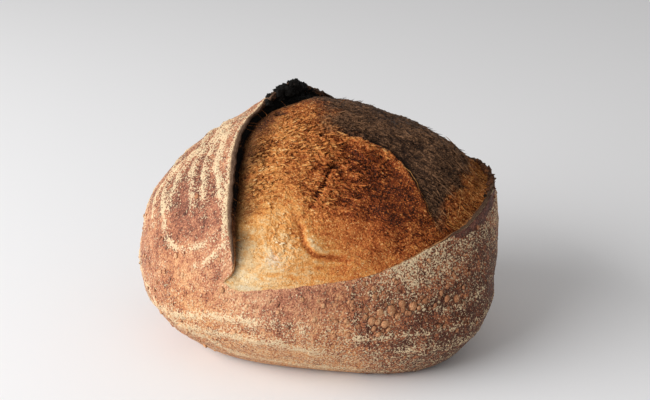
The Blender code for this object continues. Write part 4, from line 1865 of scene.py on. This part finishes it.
@dataclass(frozen=True)
class Blisters:
    """Bubbles that the oven raised in the skin.

    Attributes:
        crust: The skin that they stand on.
        large: The large ones: azimuth, elevation and radius in millimetres.
        crowd: How crowded the small ones are, place by place.
        count: How many there are in all.
        tries_each: How many places are tried for each.
        rim_gap: How far from the crevice they stay.
        sizes: The smallest and largest radius of the small ones.
        height: A blister's height over its radius.
    """

    crust: Crust
    large: Stops = (
        (298.7, 7.5, 3), (302.2, 8.8, 2.7), (302.4, 7.2, 1.9), (305.6, 7.6, 3.2), (292.3, 4.6, 2.6),
        (294.2, 4.1, 2.1), (296.4, 3.1, 2.5), (295.2, 7.2, 2.1), (292.8, 1.9, 1.7), (316.6, 7.1, 2.2),
        (320.1, 6.2, 2.8), (290.2, 6.1, 1.8), (315.2, 9.3, 1.7), (307.3, 6.7, 1.8), (290.7, 17.1, 1.6),
        (286.2, 10.5, 1.4), (284.3, 5, 1.7), (321.1, 12.4, 1.6), (317.8, 10.7, 1.7), (243.9, -2.7, 1.5),
        (239.5, 12.8, 1.9), (269.3, 13, 1.5), (276.5, 10.7, 1.4), (300.6, 5.2, 1.9), (309.5, 8.4, 1.9),
        (289, 8.6, 1.3), (299.5, 9.9, 1.5), (304.2, 5.6, 1.6), (288, 3.2, 1.5), (312.5, 6.2, 1.6),
        (323.5, 8.4, 1.7), (297.2, 1.2, 1.5),
    )
    crowd: Patches = Patches(6, (
        (298, 6, 1), (310, 8, 0.9), (290, 8, 0.8), (320, 8, 0.8), (282, 4, 0.35), (262, 10, 0.1),
        (240, 5, 0.16), (215, 12, 0.3), (200, 15, 0.2), (230, 16, 0.22), (300, -6, 0.1), (260, -8, 0.04),
        (335, -10, 0), (216, 34, 0.05), (318, 16, 0.25), (335, 14, 0.25), (0, 10, 0.16), (60, 10, 0.16),
        (120, 15, 0.16), (180, 0, 0.16), (190, 45, 0), (270, -40, 0), (90, -40, 0), (0, -40, 0),
        (180, -40, 0),
    ))
    count: int = 600
    tries_each: int = 60
    rim_gap: float = 7.0 * MM
    sizes: tuple[float, float] = (0.55 * MM, 1.7 * MM)
    height: float = 0.55

    def build(self) -> Piece:
        """Model the blisters.

        Returns:
            The joined piece.
        """
        rng = np.random.default_rng(71)
        edge = self.crust.slash.edge(self.crust.columns)
        rays, size = self._places(rng, edge)
        copies = Copies("crust_blisters", len(rays))
        piece, ball = copies.spread(started(bpy.ops.mesh.primitive_ico_sphere_add, **KNOB))
        radius = self.crust.form.radius(rays)
        lifted, gap = self.crust.lifted(rays, radius, edge)
        relief, paint = self.crust.surface(rays, radius, gap, edge)
        right, down = tangents(rays, rng.random(len(rays)) * 180.0)
        oval = 1.0 + 0.35 * (rng.random((len(rays), 1, 1)) - 0.3)
        dents = Noise(75).fractal(ball[None] + rng.random((len(rays), 1, 3)) * 40.0, 1.6, 2, 0.5)
        ball = ball[None] * (1.0 + 0.22 * dents)[..., None]
        centre = rays * (radius + lifted + relief)[:, None] + self.crust.form.heart()
        reach = size[:, None, None]
        points = (centre[:, None] + right[:, None] * ball[..., 0:1] * reach * oval
                  + down[:, None] * ball[..., 1:2] * reach
                  + rays[:, None] * ball[..., 2:3] * reach * self.height)
        top = np.clip(ball[..., 2], 0.0, 1.0)
        tint = 0.3 * (rng.random((len(rays), 1)) - 0.5)
        copies.finish(piece, points, {
            # Browner towards each blister's foot: painted shade round its base.
            Paint.BAKE: paint[Paint.BAKE][:, None] + tint + 0.3 * (1.0 - top) ** 2,
            Paint.FLOUR: (0.8 * paint[Paint.FLOUR] - 0.25 * rise(0.6 * MM, 1.8 * MM, size))[:, None],
            Paint.ASH: paint[Paint.ASH][:, None],
            Paint.BLISTER: rise(0.05, 0.45, top) * rise(0.6 * MM, 2.0 * MM, size)[:, None],
        })
        return piece

    def _places(self, rng: np.random.Generator, edge: SlashEdge) -> tuple[Array, Array]:
        """Choose the blisters' directions and radii.

        Args:
            rng: The source of chance.
            edge: The line of the slash.

        Returns:
            The directions, and the radii.
        """
        large = np.array(self.large)
        tries = self.count * self.tries_each
        rays = normalised(rng.normal(size=(tries, 3)))
        _, gap, signed = edge.line.nearest(rays)
        inside = np.sum(rays * self.crust.slash.crest(), axis=1)
        low = (rays[:, 2] > -0.5) & (gap * self.crust.form.radius(rays) > self.rim_gap)
        out = np.sign(signed) != np.sign(signed[np.argmax(inside)])
        keep = (rng.random(tries) < np.maximum(self.crowd.at(rays), 0.0) ** 1.5) & low & out
        rays = rays[keep][:self.count - len(large)]
        small, wide = self.sizes
        size = small + (wide - small) * rng.random(len(rays)) ** 2.2
        return (np.vstack((unit(large[:, 0], large[:, 1]), rays)),
                np.concatenate((large[:, 2] * MM, size)))


# --- Finishes ---

Colour = tuple[float, float, float, float]


class Graph:
    """A material's node graph, with a short method for each kind of node."""

    def __init__(self, name: str) -> None:
        """Start a material with one shader on its output.

        Args:
            name: The material's name.
        """
        self.material = bpy.data.materials.new(name)
        self.material.use_nodes = True
        self.nodes = self.material.node_tree.nodes
        self.links = self.material.node_tree.links
        self.shader = self.nodes["Principled BSDF"]
        self.coordinates = self.nodes.new("ShaderNodeTexCoord").outputs["Object"]

    def _feed(self, socket: Socket, value: object) -> None:
        """Feed an input.

        Args:
            socket: The input.
            value: Another node's output to link to it, or its value.
        """
        if isinstance(value, Socket):
            self.links.new(value, socket)
        else:
            socket.default_value = value

    def painted(self, layer: Paint) -> Socket:
        """Read a painted layer.

        Args:
            layer: The layer.

        Returns:
            Its value, from 0 to 1.
        """
        node = self.nodes.new("ShaderNodeAttribute")
        node.attribute_name = layer.value
        return node.outputs["Fac"]

    def noise(self, size: float, detail: float = 2.0, roughness: float = 0.5,
              stretch: Triple = (1.0, 1.0, 1.0),
              turn: Triple = (0.0, 0.0, 0.0)) -> Socket:
        """Add noise of a real size.

        Args:
            size: The distance from one speck to the next.
            detail: How many finer sizes are added.
            roughness: How strong the finer sizes are.
            stretch: The scale along each axis of the turned coordinates.
            turn: The turn of the coordinates, in degrees.

        Returns:
            The noise, from 0 to 1.
        """
        mapping = self.nodes.new("ShaderNodeMapping")
        mapping.vector_type = "TEXTURE"
        mapping.inputs["Rotation"].default_value = [math.radians(angle) for angle in turn]
        mapping.inputs["Scale"].default_value = [1.0 / share for share in stretch]
        self.links.new(self.coordinates, mapping.inputs["Vector"])
        node = self.nodes.new("ShaderNodeTexNoise")
        self.links.new(mapping.outputs["Vector"], node.inputs["Vector"])
        node.inputs["Scale"].default_value = 1.0 / size
        node.inputs["Detail"].default_value = detail
        node.inputs["Roughness"].default_value = roughness
        return node.outputs["Fac"]

    def sum(self, operation: str, first: object, second: object,
            clamp: bool = False) -> Socket:
        """Combine two numbers.

        Args:
            operation: The Math node's operation.
            first: The first number or socket.
            second: The second one.
            clamp: Whether the result is held between 0 and 1.

        Returns:
            The result.
        """
        node = self.nodes.new("ShaderNodeMath")
        node.operation = operation
        node.use_clamp = clamp
        self._feed(node.inputs[0], first)
        self._feed(node.inputs[1], second)
        return node.outputs["Value"]

    def weighed(self, shares: tuple[tuple[Socket, float], ...]) -> Socket:
        """Add up noises about their middle.

        Args:
            shares: Each noise and its weight.

        Returns:
            Their sum, about 0.
        """
        total = None
        for value, weight in shares:
            part = self.sum("MULTIPLY", self.sum("SUBTRACT", value, 0.5), weight)
            total = part if total is None else self.sum("ADD", total, part)
        return total

    def spread(self, value: object, low: float, high: float,
               to_low: float = 0.0, to_high: float = 1.0) -> Socket:
        """Map a range of numbers onto another, smoothly and held at its ends.

        Args:
            value: The number or socket to map.
            low: The start of its range.
            high: The end of its range.
            to_low: What the start becomes.
            to_high: What the end becomes.

        Returns:
            The mapped number.
        """
        node = self.nodes.new("ShaderNodeMapRange")
        node.interpolation_type = "SMOOTHSTEP"
        self._feed(node.inputs["Value"], value)
        node.inputs["From Min"].default_value = low
        node.inputs["From Max"].default_value = high
        node.inputs["To Min"].default_value = to_low
        node.inputs["To Max"].default_value = to_high
        return node.outputs["Result"]

    def ramp(self, value: object, stops: Stops) -> Socket:
        """Turn a number into a colour.

        Args:
            value: The number or socket, from 0 to 1.
            stops: Rows of a place on the ramp, then red, green and blue.

        Returns:
            The colour.
        """
        node = self.nodes.new("ShaderNodeValToRGB")
        self._feed(node.inputs["Fac"], value)
        elements = node.color_ramp.elements
        while len(elements) < len(stops):
            elements.new(0.5)
        for element, (position, *colour) in zip(elements, stops):
            element.position = position
            element.color = (*colour, 1.0)
        return node.outputs["Color"]

    def blend(self, share: object, first: object, second: object) -> Socket:
        """Mix two colours.

        Args:
            share: How much there is of the second.
            first: The first colour or socket.
            second: The second one.

        Returns:
            The mixed colour.
        """
        node = self.nodes.new("ShaderNodeMix")
        node.data_type = "RGBA"
        self._feed(node.inputs["Factor"], share)
        self._feed(node.inputs[6], first)
        self._feed(node.inputs[7], second)
        return node.outputs[2]

    def bump(self, height: object, distance: float, strength: float = 1.0,
             under: Socket | None = None) -> Socket:
        """Raise the surface by a height.

        Args:
            height: The height, from 0 to 1.
            distance: How far 1 stands out.
            strength: How much of it is shown.
            under: Another bump below it.

        Returns:
            The bumped normal.
        """
        node = self.nodes.new("ShaderNodeBump")
        node.inputs["Strength"].default_value = strength
        node.inputs["Distance"].default_value = distance
        self._feed(node.inputs["Height"], height)
        if under is not None:
            self.links.new(under, node.inputs["Normal"])
        return node.outputs["Normal"]

    def dress(self, colour: Socket, roughness: Socket, gloss: float, relief: Socket) -> Material:
        """Put the finish on the shader.

        Args:
            colour: The finish's colour.
            roughness: Its roughness.
            gloss: The strength of its reflections.
            relief: Its bumps.

        Returns:
            The finished material.
        """
        for name, socket in (("Base Color", colour), ("Roughness", roughness), ("Normal", relief)):
            self.links.new(socket, self.shader.inputs[name])
        self.shader.inputs["Specular IOR Level"].default_value = gloss
        return self.material


@dataclass(frozen=True)
class BloomFinish:
    """Baked crumb: pale where it opened last, burnt where it stood highest.

    Attributes:
        warm: The colours from pale crumb to nearly black, by browning.
        golden: The yellower colours beside the ear and on the web, by browning.
        ashen: The greyer colours of the dark lobe, by browning.
        burnt: The colour of char, and of the painted shade that the char layer carries.
        dust: The colour of the little flour that fell on the bloom.
        grain: The size of the finest grain.
        gloss: The strength of its reflections.
    """

    warm: Stops = (
        (0, 0.82, 0.66, 0.44), (0.12, 0.78, 0.5, 0.24), (0.26, 0.74, 0.31, 0.078),
        (0.4, 0.6, 0.19, 0.046), (0.54, 0.45, 0.115, 0.026), (0.68, 0.28, 0.058, 0.01),
        (0.82, 0.15, 0.026, 0.005), (1, 0.03, 0.009, 0.004),
    )
    golden: Stops = (
        (0, 0.83, 0.67, 0.44), (0.12, 0.81, 0.56, 0.29), (0.26, 0.74, 0.36, 0.105),
        (0.4, 0.57, 0.225, 0.054), (0.54, 0.39, 0.132, 0.028), (0.7, 0.22, 0.066, 0.013),
        (1, 0.045, 0.016, 0.006),
    )
    ashen: Stops = (
        (0.3, 0.29, 0.15, 0.076), (0.5, 0.145, 0.07, 0.034), (0.7, 0.074, 0.035, 0.017),
        (0.88, 0.038, 0.017, 0.008), (1, 0.018, 0.008, 0.004),
    )
    burnt: Colour = (0.01, 0.007, 0.005, 1.0)
    dust: Colour = (0.8, 0.68, 0.52, 1.0)
    grain: float = 0.95 * MM
    gloss: float = 0.14

    def material(self) -> Material:
        """Make the finish's material."""
        graph = Graph("baked_crumb")
        fine = graph.noise(self.grain, 2.0, 0.7)
        coarse = graph.noise(3.2 * self.grain, 3.0, 0.6)
        streak = graph.noise(1.2 * self.grain, 2.0, 0.7, (0.13, 1.0, 1.0), (0.0, 20.0, -19.0))
        mottle = graph.weighed(((fine, 0.9), (coarse, 0.4), (streak, 0.45)))
        fibrous = graph.weighed(((streak, 1.1), (coarse, -0.25)))
        mottle = graph.sum("ADD", mottle, graph.sum("MULTIPLY", fibrous, graph.painted(Paint.ASH)))
        # Lighter flecks, partly painted glints.
        flecks_and_glints = graph.spread(graph.noise(0.9 * self.grain, 1.0, 0.5), 0.58, 0.66, 0.0, -0.36)
        gap = graph.spread(graph.noise(1.1 * self.grain, 1.0, 0.5), 0.4, 0.33, 0.0, 0.2)
        mottle = graph.sum("ADD", graph.sum("ADD", mottle, flecks_and_glints), gap)
        deep = graph.spread(graph.painted(Paint.BAKE), 0.12, 0.75, 0.16, 1.0)
        mottle = graph.sum("MULTIPLY", mottle, deep)
        bake = graph.sum("ADD", graph.painted(Paint.BAKE), mottle, clamp=True)
        colour = graph.blend(graph.painted(Paint.GOLD), graph.ramp(bake, self.warm),
                             graph.ramp(bake, self.golden))
        colour = graph.blend(graph.painted(Paint.ASH), colour, graph.ramp(bake, self.ashen))
        # Char and the painted shade in the char layer darken the crumb towards burnt.
        colour = graph.blend(graph.painted(Paint.CHAR), colour, self.burnt)
        speck = graph.spread(graph.sum("ADD", graph.painted(Paint.FLOUR), fine), 0.86, 0.96)
        colour = graph.blend(graph.sum("MULTIPLY", speck, 0.6), colour, self.dust)
        relief = graph.bump(fine, 1.1 * MM, 1.0, graph.bump(streak, 0.9 * MM, 0.9))
        return graph.dress(colour, graph.spread(coarse, 0.3, 0.7, 0.4, 0.62), self.gloss, relief)


@dataclass(frozen=True)
class CrustFinish:
    """Floured skin: tan where it is thin, purple-brown where it is bare.

    Attributes:
        skin: The colours of the bare skin, from pale to dark, by browning.
        rosy: The same where it is purplish.
        blister: The colours of the blisters, by browning.
        flour: The colour of the flour.
        burnt: The colour of char.
        grain: The size of the finest grain.
        gloss: The strength of its reflections.
    """

    skin: Stops = (
        (0, 0.8, 0.5, 0.25), (0.25, 0.71, 0.35, 0.14), (0.45, 0.55, 0.215, 0.084),
        (0.62, 0.38, 0.126, 0.052), (0.8, 0.2, 0.066, 0.032), (1, 0.08, 0.026, 0.014),
    )
    rosy: Stops = (
        (0, 0.78, 0.5, 0.31), (0.25, 0.68, 0.37, 0.225), (0.45, 0.54, 0.25, 0.155),
        (0.62, 0.39, 0.155, 0.096), (0.8, 0.22, 0.082, 0.053), (1, 0.09, 0.032, 0.022),
    )
    blister: Stops = ((0.2, 0.8, 0.5, 0.28), (0.6, 0.67, 0.34, 0.165), (1, 0.44, 0.175, 0.078))
    flour: Colour = (0.83, 0.64, 0.4, 1.0)
    burnt: Colour = (0.012, 0.008, 0.006, 1.0)
    grain: float = 1.1 * MM
    gloss: float = 0.18

    def material(self) -> Material:
        """Make the finish's material."""
        graph = Graph("floured_crust")
        fine = graph.noise(self.grain, 2.0, 0.7)
        other = graph.noise(0.95 * self.grain, 1.0, 0.6, turn=(31.0, 17.0, 45.0))
        coarse = graph.noise(3.6 * self.grain, 3.0, 0.6)
        mottle = graph.weighed(((other, 1.15), (coarse, 0.95)))
        mottle = graph.sum("MULTIPLY", mottle, graph.spread(graph.painted(Paint.ASH), 0.0, 1.0, 1.1, 0.65))
        bake = graph.sum("ADD", graph.painted(Paint.BAKE), mottle, clamp=True)
        colour = graph.blend(graph.painted(Paint.ASH), graph.ramp(bake, self.skin),
                             graph.ramp(bake, self.rosy))
        colour = graph.blend(graph.painted(Paint.BLISTER), colour, graph.ramp(bake, self.blister))
        grains = graph.weighed(((fine, 3.4), (coarse, 0.7)))
        cover = graph.spread(graph.sum("ADD", graph.painted(Paint.FLOUR), grains), 0.52, 0.82)
        colour = graph.blend(graph.sum("MULTIPLY", cover, 0.88), colour, self.flour)
        colour = graph.blend(graph.painted(Paint.CHAR), colour, self.burnt)
        relief = graph.bump(graph.sum("ADD", fine, other), 0.9 * MM, 1.0, graph.bump(coarse, 1.3 * MM))
        return graph.dress(colour, graph.spread(cover, 0.0, 1.0, 0.5, 0.92), self.gloss, relief)


@dataclass(frozen=True)
class RimFinish:
    """The torn rim: dusty where it was cut, then brown crumb, then char.

    Attributes:
        cut: The colours of the cut top, from its outer side inwards.
        wall: The colours of the inner wall, by browning.
        flour: The colour of the flour.
        burnt: The colour of char.
        grain: The size of the finest grain.
        gloss: The strength of its reflections.
    """

    cut: Stops = ((0, 0.34, 0.22, 0.13), (0.16, 0.15, 0.086, 0.052), (0.5, 0.085, 0.045, 0.027))
    wall: Stops = (
        (0.2, 0.62, 0.34, 0.14), (0.42, 0.42, 0.19, 0.075), (0.6, 0.25, 0.095, 0.034),
        (0.78, 0.11, 0.042, 0.02), (0.95, 0.035, 0.014, 0.008),
    )
    flour: Colour = (0.83, 0.64, 0.4, 1.0)
    burnt: Colour = (0.006, 0.005, 0.004, 1.0)
    grain: float = 0.95 * MM
    gloss: float = 0.12

    def material(self) -> Material:
        """Make the finish's material."""
        graph = Graph("torn_rim")
        fine = graph.noise(self.grain, 2.0, 0.7)
        coarse = graph.noise(2.6 * self.grain, 3.0, 0.6)
        mottle = graph.weighed(((fine, 0.9), (coarse, 0.6)))
        tear = graph.painted(Paint.TEAR)
        wall = graph.ramp(graph.sum("ADD", graph.painted(Paint.BAKE), mottle), self.wall)
        cut = graph.ramp(graph.sum("ADD", tear, graph.sum("MULTIPLY", mottle, 0.6)), self.cut)
        colour = graph.blend(graph.spread(tear, 0.52, 0.66), cut, wall)
        cover = graph.spread(graph.sum("ADD", graph.painted(Paint.FLOUR),
                                       graph.sum("MULTIPLY", mottle, 2.0)), 0.45, 0.85)
        colour = graph.blend(graph.sum("MULTIPLY", cover, 0.85), colour, self.flour)
        char = graph.spread(graph.sum("ADD", graph.painted(Paint.CHAR), mottle), 0.4, 0.75)
        colour = graph.blend(char, colour, self.burnt)
        roughness = graph.spread(coarse, 0.3, 0.7, 0.55, 0.85)
        return graph.dress(colour, roughness, self.gloss, graph.bump(fine, 0.9 * MM))


@dataclass(frozen=True)
class FloorFinish:
    """A plain pale tabletop."""

    colour: Colour = (0.86, 0.86, 0.87, 1.0)
    roughness: float = 0.9
    gloss: float = 0.2

    def material(self) -> Material:
        """Make the finish's material."""
        graph = Graph("pale_table")
        graph.shader.inputs["Base Color"].default_value = self.colour
        graph.shader.inputs["Roughness"].default_value = self.roughness
        graph.shader.inputs["Specular IOR Level"].default_value = self.gloss
        return graph.material


# --- The loaf and its studio ---

@dataclass(frozen=True)
class Loaf:
    """The whole bread: its crust, its torn rim, its bloom, and what stands loose on them."""

    crust: Crust
    blisters: Blisters
    rim: Rim
    bloom: Bloom
    flakes: Flakes
    strands: Strands
    char: EarChar

    def build(self) -> list[Piece]:
        """Model and dress the pieces and put them on the part's body.

        Returns:
            The pieces.
        """
        skin = CrustFinish().material()
        torn = RimFinish().material()
        crumb = BloomFinish().material()
        makers = ((self.crust, skin), (self.blisters, skin), (self.rim, torn), (self.bloom, crumb),
                  (self.flakes, crumb), (self.strands, crumb), (self.char, torn))
        pieces = []
        for maker, finish in makers:
            piece = maker.build()
            piece.data.materials.append(finish)
            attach(piece, "root")
            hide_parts("loaf")
            log.info("%s: %d triangles", piece.name, triangles_in(piece))
            pieces.append(piece)
        return pieces


@dataclass(frozen=True)
class AreaLamp:
    """A wide soft light that faces the loaf.

    Attributes:
        name: The lamp's name.
        azimuth: The direction that it hangs in, in degrees from +X towards +Y.
        elevation: Its height over the table, in degrees.
        distance: How far it hangs from the loaf.
        width: Its width.
        height: Its height.
        power: Its power in watts.
    """

    name: str
    azimuth: float
    elevation: float
    distance: float
    width: float
    height: float
    power: float

    def hang(self) -> None:
        """Add the lamp to the scene."""
        light = bpy.data.lights.new(self.name, "AREA")
        light.shape = "RECTANGLE"
        light.size = self.width
        light.size_y = self.height
        light.energy = self.power
        lamp = bpy.data.objects.new(self.name, light)
        bpy.context.scene.collection.objects.link(lamp)
        lamp.location = unit(self.azimuth, self.elevation) * self.distance
        lamp.rotation_euler = (math.radians(90.0 - self.elevation), 0.0, math.radians(90.0 + self.azimuth))


@dataclass(frozen=True)
class Studio:
    """The pale table, the daylight from the left, and the camera.

    Attributes:
        table_side: The side of the table's square.
        daylight: The main light, from the left.
        sky: The strength of the light that comes from everywhere.
        sky_colour: Its colour.
        camera_place: Where the camera stands.
        camera_pitch: How far it looks down, in degrees.
        lens: Its focal length in millimetres.
    """

    table_side: float = 14.0
    daylight: AreaLamp = AreaLamp("daylight", 205.0, 30.0, 1.9, 2.1, 1.0, 46.0)
    sky: float = 0.42
    sky_colour: Triple = (1.0, 0.99, 0.98)
    camera_place: Triple = (5.49 * MM, -686.42 * MM, 362.06 * MM)
    camera_pitch: float = 22.0
    lens: float = 65.0

    def build(self) -> None:
        """Add the table, the lights and the camera."""
        table = started(bpy.ops.mesh.primitive_plane_add, size=self.table_side,
                        location=(0.0, 0.0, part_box("loaf")[0][2]))
        table.name = "table"
        table.data.materials.append(FloorFinish().material())
        self.daylight.hang()
        world = bpy.data.worlds.new("daylit_room")
        bpy.context.scene.world = world
        world.use_nodes = True
        background = world.node_tree.nodes["Background"]
        background.inputs["Color"].default_value = (*self.sky_colour, 1.0)
        background.inputs["Strength"].default_value = self.sky
        lens = bpy.data.cameras.new("camera")
        lens.lens = self.lens
        camera = bpy.data.objects.new("camera", lens)
        bpy.context.scene.collection.objects.link(camera)
        camera.location = self.camera_place
        camera.rotation_euler = (math.radians(90.0 - self.camera_pitch), 0.0, 0.0)
        bpy.context.scene.camera = camera
        bpy.context.scene.view_settings.view_transform = "Standard"
        log.info("studio: table, daylight, sky and camera")


def main() -> None:
    """Build the loaf and its studio."""
    form = LoafForm()
    slash = Slash(form)
    bloom = Bloom(form, slash)
    crust = Crust(form, slash)
    Loaf(crust, Blisters(crust), Rim(slash), bloom, Flakes(bloom), Strands(bloom), EarChar(slash)).build()
    Studio().build()


if __name__ == "__main__":
    main()
